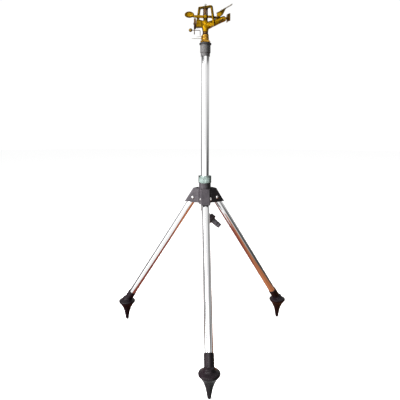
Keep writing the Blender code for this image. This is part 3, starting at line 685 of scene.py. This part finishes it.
elbow = cast([revolve(rounded([(0, E - 20.6), (5.4, E - 19.6, 2.0), (8.5, E - 15.5, 2.0), (9.3, E - 11.0), (9.3, E - 0.2, 0.3), (9.6, E), (9.6, E + 16.0, 0.5), (0, E + 16.0)], 0.4, 4, closed=False), 72),
              revolve(rounded([(0, 2.0), (8.9, 2.0), (8.9, 15.4, 0.8), (12.4, 15.4, 0.5), (13.8, 16.8, 0.5), (13.8, 21.4, 0.2), (13.2, 21.9, 0.1), (13.2, 22.7, 0.1), (13.8, 23.2, 0.2), (13.8, 28.8, 0.5), (12.4, 30.0, 0.4), (0, 30.0)], 0.3, 3, closed=False), 72, i_at, i_dir)], 0.36, 3)
elbow = cut(elbow, drill(7.4, INLET_Z - 5.0, E + 20, n=40), drill(4.6, 4, 20, i_at, i_dir), drill(6.4, 16.6, 33, i_at, i_dir))
piece("elbow_body", elbow, BLACK_PLASTIC, "riser", "inlet_elbow", sharp=50)
piece("quick_nipple", revolve(rounded([(4.2, 17.0), (6.0, 17.0), (6.0, 30.3, 0.1), (8.8, 30.3, 0.4), (8.8, 32.6, 0.5), (7.4, 33.2, 0.4), (7.4, 44.4, 0.25), (6.2, 44.8, 0.1), (6.2, 47.4, 0.1), (7.4, 47.8, 0.25),
                                        (7.4, 52.0, 0.5), (6.7, 54.0, 0.5), (6.7, 56.6, 0.4), (6.1, 57.0, 0.2), (4.2, 57.0, 0.3)], 0.3, 4), 64, i_at, i_dir), NIPPLE_PLASTIC, "riser", "hose_nipple", sharp=50)
piece("nipple_ring", revolve([(7.4 + 0.85 * math.cos(math.radians(a)), 46.1 + 0.85 * math.sin(math.radians(a))) for a in range(0, 360, 24)], 64, i_at, i_dir), RUBBER, "riser", "nipple_oring")
restyle("adapter_seal", RUBBER)

spindle = revolve(rounded([(9.05, H - 17.0), (10.1, H - 17.0, 0.4), (10.1, H + 1.9, 0.1), (10.1, H + 3.0, 0.1), (7.9, H + 3.0, 0.1), (7.9, H + 23.4, 0.3), (6.3, H + 23.4, 0.2), (6.3, H - 3.6, 0.1), (9.05, H - 3.6)], 0.2, 3), 64)
piece("bearing_hex", merge(spindle, chamfered_hex(14.2, H + 1.9, H + 7.1, 12.0, chamfer=1.0, bore=7.92)), BRASS_TURNED, "riser", "bearing_nipple", sharp=32)

for tag, z0, z1, r_out, zw, reach, az in (("lower", 7.5, 14.8, 9.9, 12.3, 38.0, 184.0), ("upper", 15.5, 23.1, 9.4, 18.4, 24.5, 172.0)):
    body = "stop_" + tag
    prof = rounded([(8.15, H + z0), (r_out - 0.3, H + z0, 0.3), (r_out, H + z0 + 0.5, 0.3), (r_out, H + z0 + 2.2, 0.1), (r_out - 0.45, H + z0 + 2.6, 0.1), (r_out - 0.45, H + z0 + 3.0, 0.1), (r_out, H + z0 + 3.4, 0.1),
                    (r_out, H + z1 - 0.5, 0.3), (r_out - 0.3, H + z1, 0.3), (8.15, H + z1)], 0.2, 3)
    ring = revolve(prof, 90)
    pad = side_prism([(8.5, H + zw - 2.4), (r_out + 2.2, H + zw - 2.4), (r_out + 2.2, H + zw + 2.4), (8.5, H + zw + 2.4)], -2.4, 2.4, az)
    ring = join(ring, pad)
    ring = cut(ring, drill(1.1, r_out - 0.9, r_out + 4, (0, 0, H + zw), polar(1, 0, az), 20))
    piece("stop_ring_" + tag, ring, BRASS_TURNED, body, "trip_collar_" + tag, bevel=0.22, sharp=35)
    piece("stop_wire_" + tag, rod([polar(r_out - 0.6, H + zw, az)] + [polar(r_out + (reach - r_out) * f, H + zw, az + 1.2 * math.sin(f * 5)) for f in (0.1, 0.25, 0.4, 0.55, 0.7, 0.85, 1.0)], 0.8, 20),
          WIRE, body, "trip_wire_" + tag, sharp=60)

# ================================================================ head
restyle("bearing_sleeve", BRASS_TURNED)
restyle("bearing_seal", RUBBER)
restyle("thrust_washer", DARK_NYLON)
piece("seat_spring", rod(coil_path(7.25, 0.55, H + 25.3, H + 30.5, 3.4, 40), 0.55, 12), SPRING, "head", "bearing_spring", sharp=60)

bt = math.radians(BARREL_TILT)
b_dir = Vector((math.cos(bt), 0, math.sin(bt)))
b_down = Vector((math.sin(bt), 0, -math.cos(bt)))
b_at = Vector((0, 0, H + BARREL_Z))
trip_z = H + 53.0
flap_at = Vector((34.2, 0, H + 71.3))

body_cast = revolve([(0, H + 30.8), (7.4, H + 30.8), (8.1, H + 31.6), (8.1, H + 34.0), (8.8, H + 36.5), (9.6, H + 40.0), (10.2, H + 46.0), (9.8, H + 52.0), (8.2, H + 57.5), (6.4, H + 60.5), (6.0, H + 66.0), (0, H + 66.0)], 64)
barrel = revolve([(0, 0), (9.8, 0), (9.8, 10.0), (8.9, 22.0), (8.0, 38.0), (7.5, 47.6), (7.7, 48.4), (7.75, 55.4), (7.3, 56.0), (0, 56.0)], 64, b_at, b_dir)
frame_out = [(-28.3, H + 44.0), (28.3, H + 44.0), (28.3, H + 50.0), (20.7, H + 98.4), (19.0, H + 100.0), (-19.0, H + 100.0), (-20.7, H + 98.4), (-28.3, H + 50.0)]
bridge = cut(side_prism(frame_out, -4.2, 4.2, BRIDGE_AZ), side_prism([(-23.6, H + 52.3), (23.6, H + 52.3), (17.0, H + 94.4), (-17.0, H + 94.4)], -8, 8, BRIDGE_AZ))
boss = revolve([(0, H + 93.8), (5.6, H + 93.8), (5.6, H + 99.8), (0, H + 99.8)], 40)
lug = side_prism([(-25.5, H + 42.4), (-4.0, H + 42.4), (-4.0, H + 60.0), (-19.0, H + 63.4), (-25.5, H + 60.9)], -4.9, 4.9)
lug_rib = side_prism([(-24.5, H + 50.0), (-6.0, H + 50.0), (-6.0, H + 56.0), (-24.5, H + 56.0)], -5.0, 5.0)
ear = side_prism([(27.0, H + 60.0), (40.0, H + 65.0), (38.3, H + 72.4), (36.2, H + 75.0), (32.6, H + 75.2), (30.2, H + 72.6)], -2.0, 2.0)
casting = cast([body_cast, barrel, bridge, lug, lug_rib, ear], 0.36, 5)
casting = cut(casting, drill(6.25, H + 25, H + 41, n=48), drill(5.0, H + 40.5, H + 50, n=40), drill(4.5, 0, 43, b_at, b_dir), drill(5.25, 42.2, 60, b_at, b_dir), drill(2.35, H + 54, H + 108, n=28),
              drill(2.1, 12, 30, (0, 0, trip_z), (-1, 0, 0), 24), drill(1.85, -4, 4, flap_at, (0, 1, 0), 24))
# darkens the bridge's top bar, the lug, the strip between lug and body and the neck under the arm, where shade falls:
# painted shade; it also darkens the bridge's side posts at about half strength
mark(casting, lambda p: max(soft(p.z, H + 93.0, H + 94.6) * soft(-p.z, -H - 99.4, -H - 98.6), (0.30 + 0.5 * soft(abs(p.z - H - 52.0), 4.5, 8.5)) * soft(-p.x, 8.0, 11.0) * soft(-p.z, -H - 66.0, -H - 62.0), 0.85 * soft(-p.x, 8.2, 9.4) * soft(p.x, -13.0, -11.6) * soft(-p.z, -H - 62.0, -H - 60.0), soft(p.z, H + 60.0, H + 61.5) * soft(-math.hypot(p.x, p.y), -9.0, -7.5), 0.45 * soft(abs(p.x), 13.0, 16.0) * soft(p.z, H + 60.0, H + 64.0) * soft(abs(p.y), 0.0, 4.0) * soft(-abs(p.x), -24.5, -22.0)))
piece("head_body", casting, BRASS, "head", "head_casting", sharp=50)

noz = merge(revolve(rounded([(3.4, 43.0), (4.9, 43.0), (4.9, 55.6, 0.1), (6.3, 56.3, 0.1), (6.3, 59.0, 0.2), (5.6, 59.5, 0.3), (2.6, 59.5, 0.3), (2.2, 58.6, 0.2), (2.2, 52.0)], 0.2, 3), 48, b_at, b_dir),
            chamfered_hex(7.1, 56.4, 58.9, 14.0, b_at, b_dir, 0.5, 6.32))
piece("jet_nozzle", noz, BRASS_TURNED, "head", "nozzle", sharp=35)
for name, node_name, s, tilt in (("range_screw", "diffuser_screw", 49.4, 14.0), ("spreader_screw", "spreader_plug", 42.6, 34.0)):
    t = math.radians(tilt)
    d = Vector((0, -math.cos(t), 0)) + b_down * math.sin(t)
    at = b_at + b_dir * s
    head_shape = revolve(rounded([(0, 5.6), (1.4, 5.6), (1.4, 8.2, 0.1), (2.8, 8.2, 0.3), (2.8, 9.8, 0.6), (1.6, 10.5, 0.6), (0, 10.7)], 0.2, 4, closed=False), 36, at, d)
    piece(name, cut(head_shape, prism([(-4, -0.42), (4, -0.42), (4, 0.42), (-4, 0.42)], 9.6, 12.0, at, d)), BRONZE, "head", node_name, bevel=0.08, sharp=35)

piece("pivot_spindle", revolve(rounded([(0, H + 54.4), (2.0, H + 54.4, 0.4), (2.0, H + 100.3, 0.1), (2.9, H + 100.4, 0.3), (3.1, H + 101.2, 0.3), (2.2, H + 102.0, 0.3), (2.2, H + 104.0, 0.3), (2.9, H + 104.7, 0.4), (2.8, H + 105.9, 0.7), (0, H + 106.4)], 0.3, 4, closed=False), 40),
      WIRE, "head", "fulcrum_pin", sharp=45)
restyle("arm_washer", DARK_NYLON)
piece("return_spring", rod(coil_path(6.1, 0.85, H + 76.6, H + 92.6, 6.2, 44), 0.85, 14), SPRING, "head", "arm_spring", sharp=60)
piece("spring_cup", revolve(rounded([(2.3, H + 92.9), (7.6, H + 92.9, 0.2), (7.6, H + 93.9, 0.3), (6.9, H + 94.3, 0.3), (2.3, H + 94.3)], 0.15, 3), 48), BRONZE, "head", "spring_seat")
piece("lever_pin", revolve(rounded([(0, 13.0), (1.75, 13.0), (1.75, 32.4, 0.1), (3.2, 32.4, 0.3), (3.2, 33.4, 0.6), (1.6, 34.1, 0.6), (0, 34.2)], 0.2, 4, closed=False), 32, (0, 0, trip_z), (-1, 0, 0)), STEEL, "head", "trip_pivot_pin")
piece("flap_pin", revolve(rounded([(0, -5.6), (1.5, -5.6, 0.3), (1.5, 4.7, 0.1), (2.7, 4.7, 0.3), (2.7, 5.5, 0.5), (1.4, 6.0, 0.5), (0, 6.1)], 0.2, 4, closed=False), 32, flap_at, (0, -1, 0)), BRONZE, "head", "deflector_pin")


# ---------------------------------------------------------------- swing arm
def ribbon(mid, w):
    mid = [Vector((x, y, 0)) for x, y in mid]
    a, b = [], []
    for i, p in enumerate(mid):
        q0, q1 = mid[max(i - 1, 0)], mid[min(i + 1, len(mid) - 1)]
        t = (q1 - q0).normalized()
        nrm = Vector((-t.y, t.x, 0))
        ww = w(i / (len(mid) - 1)) if callable(w) else w
        a.append(p + nrm * ww)
        b.append(p - nrm * ww)
    return [(p.x, p.y) for p in b + a[::-1]]


arm_hub = revolve([(0, H + 67.7), (7.0, H + 67.7), (7.4, H + 68.1), (7.4, H + 75.3), (7.0, H + 75.7), (0, H + 75.7)], 56)
left_limb = side_prism([(-36.0, H + 70.4), (-30.0, H + 69.3), (0, H + 68.0), (0, H + 75.4), (-30.0, H + 75.3), (-36.0, H + 77.4)], -2.9, 2.9)
paddle = revolve([(0, -3.3), (6.0, -3.4), (9.0, -3.3), (11.6, -2.9), (12.8, -1.8), (13.2, -0.2), (13.1, 1.6), (12.6, 2.9), (11.8, 3.4), (10.9, 3.3), (10.1, 2.6), (9.0, 1.5), (7.0, 0.6), (4.0, 0.1), (0, 0.0)], 64,
                 (-44.3, 0, H + 76.7), (0, -1, 0), up=(1, 0, 0), stretch=(1.0, 0.64))
mid = [(v.x, v.y) for v in spline([(0, 0.5), (13, 1.6), (27, 8.8), (40, 13.6), (52, 14.2), (60.5, 14.4)], 6)]
right_limb = prism(ribbon(mid, 2.45), H + 69.3, H + 75.3, axis=(0, 0, 1), up=(1, 0, 0))
smid = [(v.x, v.y) for v in spline([(60.6, 16.2), (61.0, 8.0), (63.2, 0.5), (67.4, -6.4)], 8)]
spoon = prism(ribbon(smid, 1.25), H + 60.6, H + 80.9, axis=(0, 0, 1), up=(1, 0, 0))
arm = cast([arm_hub, left_limb, paddle, right_limb, spoon], 0.34, 3)
pocket_l = merge(side_prism([(-28.0, H + 70.9), (-10.0, H + 70.2), (-10.0, H + 73.4), (-28.0, H + 73.6)], -4.0, -2.1),
                 side_prism([(-28.0, H + 70.9), (-10.0, H + 70.2), (-10.0, H + 73.4), (-28.0, H + 73.6)], 2.1, 4.0))
arm = cut(arm, pocket_l, drill(4.3, H + 60, H + 80, n=36))
mark(arm, lambda p: 0.8 * soft(math.hypot((p.x + 44.3) / 13.2, (p.z - H - 76.7) / 8.4), 0.74, 0.92) * soft(-p.x, 30.0, 34.0) + 0.7 * soft(p.x, 14.0, 20.0) * soft(-p.x, -56.0, -50.0))
piece("hammer_arm", arm, BRASS, "arm", "swing_arm", sharp=50)
restyle("arm_bushing", NYLON)


# ---------------------------------------------------------------- trip lever
def yz_prism(points, x0, x1):
    return side_prism([(y, H + z) for y, z in points], -x1, -x0, 90.0)


upper = [(-5.0, 42.3), (-2.4, 38.6), (2.4, 38.6), (5.0, 42.3), (5.2, 58.0), (3.0, 66.7), (-3.0, 66.7), (-5.2, 58.0)]
tail = [(-1.7, 28.5), (-2.8, 26.4), (0, 23.6), (2.8, 26.4), (1.7, 28.5), (1.7, 33.0), (2.6, 35.2), (1.7, 37.4), (1.9, 44.0), (-1.9, 44.0), (-1.7, 37.4), (-2.6, 35.2), (-1.7, 33.0)]
lever = join(yz_prism(upper, -32.0, -26.0), yz_prism(tail, -31.7, -29.3))
lever = cut(lever, drill(2.1, 20, 40, (0, 0, trip_z), (-1, 0, 0), 28), drill(1.2, 20, 40, (0, 0, H + 35.2), (-1, 0, 0), 20))
piece("reverse_lever", lever, BRONZE, "trip", "trip_lever", bevel=0.35, sharp=30)
wire = [(-38.2, 0, H + 35.2), (-34.0, 0, H + 35.2), (-27.0, 0, H + 35.2), (-20.0, 0, H + 35.2), (-17.0, 0, H + 35.2)] + \
       [(-17.0 + 2.5 * math.sin(math.radians(a)), 0, H + 32.7 + 2.5 * math.cos(math.radians(a))) for a in range(12, 90, 12)] + \
       [(-14.5, 0, H + 31.5), (-14.5, 0, H + 26.0), (-14.5, 0, H + 20.6)]
piece("trip_rod", rod(wire, 0.9, 20), BRONZE, "trip", "trip_wire", sharp=60)
knob_at = (-41.0, 0, H + 35.2)
knob = [(5.0 * math.sin(math.radians(t)), -5.0 * math.cos(math.radians(t))) for t in range(0, 157, 12)] + [(1.9, 4.75), (1.25, 4.6), (1.25, 2.4), (0, 2.4)]
knob[0] = (0, -5.0)
piece("lever_ball", revolve(knob, 48, knob_at, (1, 0, 0)), BRASS_DARK, "trip", "trip_knob", sharp=40)

# ---------------------------------------------------------------- deflector
cheek_line = [(30.4, H + 68.9), (35.4, H + 68.9), (37.8, H + 71.0), (48.6, H + 79.2), (56.4, H + 94.9), (31.6, H + 80.6)]
clevis = side_prism(cheek_line, -4.4, 4.4)
slope = Vector((math.cos(math.radians(30)), 0, math.sin(math.radians(30))))
rise = Vector((-math.sin(math.radians(30)), 0, math.cos(math.radians(30))))
rivet_at = Vector((45.4, 0, H + 88.75))
clevis = cut(clevis, side_prism([(28.0, H + 60), (44.0, H + 60), (44.0, H + 76.5), (41.0, H + 78.5), (28.0, H + 78.5)], -2.35, 2.35),
             drill(1.85, -8, 8, flap_at, (0, 1, 0), 24), drill(1.75, -5, 6, rivet_at, rise, 24),
             side_prism([(43.5, H + 81.0), (47.0, H + 81.6), (51.2, H + 89.4), (41.5, H + 84.4)], -6.0, -2.6),
             side_prism([(43.5, H + 81.0), (47.0, H + 81.6), (51.2, H + 89.4), (41.5, H + 84.4)], 2.6, 6.0))
mark(clevis, lambda p: 0.9 * soft(p.x, 43.0, 46.5))
piece("flap_bracket", clevis, BRASS, "deflector", "deflector_bracket", bevel=0.35, sharp=30)
outline = [(-16.5, -5.4), (-15.6, -6.6), (-12.0, -7.2), (8.0, -7.5), (26.0, -7.6), (31.0, -6.9), (33.2, -5.2), (34.0, -2.6), (34.0, 2.6), (33.2, 5.2), (31.0, 6.9), (26.0, 7.6), (8.0, 7.5), (-12.0, 7.2), (-15.6, 6.6), (-16.5, 5.4)]
plate = cut(prism(outline, 0.35, 1.85, rivet_at, rise, up=slope), drill(1.75, -5, 6, rivet_at, rise, 24))
piece("flap_plate", plate, PLATE, "deflector", "deflector_plate", bevel=0.3, sharp=30)
piece("flap_rivet", revolve(rounded([(0, -4.0), (1.4, -4.0), (1.4, 2.15, 0.1), (2.9, 2.15, 0.2), (2.6, 3.1, 0.6), (1.4, 3.8, 0.6), (0, 3.9)], 0.2, 4, closed=False), 32, rivet_at, rise), STEEL, "deflector", "deflector_rivet")

# ================================================================ studio
floor_me = bpy.data.meshes.new("floor")
bm = bmesh.new()
bmesh.ops.create_grid(bm, x_segments=1, y_segments=1, size=30.0)
bm.to_mesh(floor_me)
bm.free()
floor = bpy.data.objects.new("floor", floor_me)
scene.collection.objects.link(floor)
m, nt, sh = new_mat("floor_paint")
sh.inputs["Base Color"].default_value = (0.80, 0.80, 0.80, 1)
sh.inputs["Roughness"].default_value = 0.9
sh.inputs["Specular IOR Level"].default_value = 0.0
sh.inputs["Emission Color"].default_value = (1, 1, 1, 1)
sh.inputs["Emission Strength"].default_value = 0.90
floor_me.materials.append(m)
floor.visible_diffuse = False
floor.visible_glossy = False


def screen(name, bm, build, camera=False, glossy=True):
    """A studio surface that only the camera or only reflections see."""
    me = bpy.data.meshes.new(name)
    bm.to_mesh(me)
    bm.free()
    ob = bpy.data.objects.new(name, me)
    scene.collection.objects.link(ob)
    mm = bpy.data.materials.new(name)
    mm.use_nodes = True
    mm.node_tree.nodes.clear()
    em = mm.node_tree.nodes.new("ShaderNodeEmission")
    out = mm.node_tree.nodes.new("ShaderNodeOutputMaterial")
    mm.node_tree.links.new(em.outputs[0], out.inputs["Surface"])
    build(mm.node_tree, em)
    me.materials.append(mm)
    ob.visible_camera = camera
    ob.visible_glossy = glossy
    ob.visible_diffuse = False
    ob.visible_shadow = False
    ob.visible_transmission = False
    return ob


def quad(centre, normal, w, h, up=(0, 0, 1)):
    bm = bmesh.new()
    rot = basis(normal, up)
    c = Vector(centre)
    bm.faces.new([bm.verts.new(c + rot @ Vector((x * h / 2, y * w / 2, 0))) for x, y in ((-1, -1), (1, -1), (1, 1), (-1, 1))])
    return bm


def plain(colour, strength=1.0):
    def build(nt, em):
        em.inputs["Color"].default_value = (*colour, 1)
        em.inputs["Strength"].default_value = strength
    return build


def calc(nt, op, a, b):
    n = nt.nodes.new("ShaderNodeMath")
    n.operation = op
    for sock, v in zip(n.inputs, (a, b)):
        if isinstance(v, float):
            sock.default_value = v
        else:
            nt.links.new(v, sock)
    return n.outputs[0]


DOME = 6.0


def surround(nt, em):
    """Bright in front, dimmer at both sides, with a long lamp box low on the left."""
    tc = nt.nodes.new("ShaderNodeTexCoord")
    sep = nt.nodes.new("ShaderNodeSeparateXYZ")
    nt.links.new(tc.outputs["Object"], sep.inputs[0])
    back = calc(nt, "MULTIPLY", sep.outputs[1], -1.0)
    turn = to_range(nt, calc(nt, "ARCTAN2", sep.outputs[0], back), 0.0, 1.0, -math.pi, math.pi)
    high = to_range(nt, sep.outputs[2], 0.0, 1.0, -DOME, DOME)

    def grey(fac, stops):
        return ramp(nt, fac, [(p, (v, v, v)) for p, v in stops])

    def at(deg):
        return (deg / 180.0 + 1.0) / 2.0

    def up(v):
        return (v + 1.0) / 2.0

    ring = grey(turn, [(at(-172), 0.55), (at(-128), 0.50), (at(-116), 0.05), (at(-97), 0.05), (at(-82), 0.95), (at(26), 0.95), (at(52), 0.40), (at(64), 0.05), (at(122), 0.05), (at(150), 0.60)])
    tight = grey(turn, [(at(-172), 0.45), (at(-134), 0.40), (at(-112), 0.05), (at(-64), 0.09), (at(-30), 0.95), (at(-8), 1.0), (at(22), 0.95), (at(50), 0.14), (at(66), 0.06), (at(120), 0.06), (at(146), 0.50)])
    aloft = grey(high, [(up(0.335), 0.0), (up(0.375), 1.0), (up(0.62), 1.0), (up(0.72), 0.0)])
    ring = mix(nt, aloft, ring, tight)
    height = grey(high, [(up(-0.6), 0.30), (up(-0.3), 0.08), (up(-0.04), 0.05), (up(0.03), 0.12), (up(0.065), 0.26), (up(0.11), 0.34), (up(0.24), 0.66), (up(0.31), 0.60), (up(0.355), 0.13), (up(0.52), 0.17), (up(0.70), 0.80)])
    lamp = calc(nt, "MULTIPLY", grey(turn, [(at(-88), 0.0), (at(-76), 1.0), (at(-46), 1.0), (at(-34), 0.0)]), grey(high, [(up(-0.34), 0.0), (up(-0.22), 0.3), (up(0.10), 0.3), (up(0.24), 1.0), (up(0.295), 1.0), (up(0.32), 0.0)]))
    flood = calc(nt, "MULTIPLY", grey(turn, [(at(-90), 0.0), (at(-74), 1.0), (at(-14), 1.0), (at(6), 0.0)]), grey(high, [(up(0.55), 0.0), (up(0.60), 1.0), (up(0.70), 1.0), (up(0.76), 0.0)]))
    strip = calc(nt, "MULTIPLY", grey(turn, [(at(-48), 0.0), (at(-34), 1.0), (at(2), 1.0), (at(16), 0.0)]), grey(high, [(up(-0.34), 0.0), (up(-0.25), 1.0), (up(-0.02), 1.0), (up(0.05), 0.0)]))
    glow = calc(nt, "MULTIPLY", grey(turn, [(at(-14), 0.0), (at(0), 1.0), (at(16), 1.0), (at(28), 0.0)]), aloft)
    ring = calc(nt, "ADD", ring, calc(nt, "MULTIPLY", glow, 0.75))
    extra = calc(nt, "ADD", calc(nt, "MULTIPLY", lamp, 6.0), calc(nt, "ADD", calc(nt, "MULTIPLY", flood, 6.0), calc(nt, "MULTIPLY", strip, 2.2)))
    total = calc(nt, "ADD", calc(nt, "MAXIMUM", ring, height), extra)
    em.inputs["Color"].default_value = (1, 1, 1, 1)
    nt.links.new(total, em.inputs["Strength"])


def warm_ground(nt, em):
    """Red-brown to the left, orange-brown to the right, streaked along the ground."""
    tc = nt.nodes.new("ShaderNodeTexCoord")
    sep = nt.nodes.new("ShaderNodeSeparateXYZ")
    nt.links.new(tc.outputs["Object"], sep.inputs[0])
    nt.links.new(ramp(nt, to_range(nt, sep.outputs[0], 0.0, 1.0, -0.1, 0.5), [(0.0, (0.25, 0.066, 0.045)), (0.25, (0.30, 0.085, 0.052)), (0.42, (0.56, 0.215, 0.10)), (0.70, (0.40, 0.13, 0.05)), (1.0, (0.52, 0.21, 0.10))]), em.inputs["Color"])
    streak = noise(nt, coords(nt, (9.0, 1.5, 1.0)), 3.0, 3.0)
    nt.links.new(to_range(nt, streak, 0.55, 1.25, 0.3, 0.7), em.inputs["Strength"])


dome = bmesh.new()
bmesh.ops.create_uvsphere(dome, u_segments=48, v_segments=24, radius=DOME)
screen("surround", dome, surround)
shell = bmesh.new()
bmesh.ops.create_uvsphere(shell, u_segments=48, v_segments=24, radius=14.0)
screen("backdrop", shell, plain((1, 1, 1), 1.03), camera=True, glossy=False)
patch = bmesh.new()
patch.faces.new([patch.verts.new((x, y, 0.003)) for x, y in ((-0.21, 0.095), (-0.10, 0.04), (0.005, -0.03), (0.02, -0.17), (0.30, -0.34), (0.38, -0.10), (0.62, 0.0), (0.75, 0.30), (0.75, 2.0), (-0.62, 2.0), (-0.60, 0.50), (-0.42, 0.22))])
screen("warm_ground", patch, warm_ground)

world = bpy.data.worlds.new("studio")
scene.world = world
world.use_nodes = True
world.node_tree.nodes["Background"].inputs["Color"].default_value = (1, 1, 1, 1)
world.node_tree.nodes["Background"].inputs["Strength"].default_value = 0.10
scene.view_settings.view_transform = "Standard"


def area(name, at, target, size, power, colour=(1, 1, 1)):
    ld = bpy.data.lights.new(name, "AREA")
    ld.shape = "RECTANGLE"
    ld.size, ld.size_y = size
    ld.energy = power
    ld.color = colour
    lo = bpy.data.objects.new(name, ld)
    lo.location = at
    lo.rotation_euler = (Vector(target) - Vector(at)).to_track_quat("-Z", "Y").to_euler()
    lo.visible_glossy = False
    scene.collection.objects.link(lo)


area("key", (-2.15, -1.05, 1.45), (0, 0.07, 0.5), (1.0, 1.4), 250)
area("top", (-0.3, -0.6, 2.6), (0, 0.07, 0.6), (1.2, 1.2), 20)

# ---------------------------------------------------------------- camera
cd = bpy.data.cameras.new("camera")
cam = bpy.data.objects.new("camera", cd)
scene.collection.objects.link(cam)
D, CH, PITCH, PHI, F_PX, ROLL = 1.200, 0.6076, 0.086, 0.0413, 424.07, 0.0036
cam.location = (-D * math.sin(PHI), AXIS_Y * MM - D * math.cos(PHI), CH)
forward = Vector((math.cos(PITCH) * math.sin(PHI), math.cos(PITCH) * math.cos(PHI), -math.sin(PITCH)))
cam.rotation_euler = (forward.to_track_quat("-Z", "Y").to_matrix() @ Matrix.Rotation(ROLL, 3, "Z")).to_euler()
cd.sensor_width = 36.0
cd.lens = F_PX / 400.0 * 36.0
cd.shift_x = -0.0123
cd.shift_y = -0.08
cd.clip_start = 0.01
scene.camera = cam
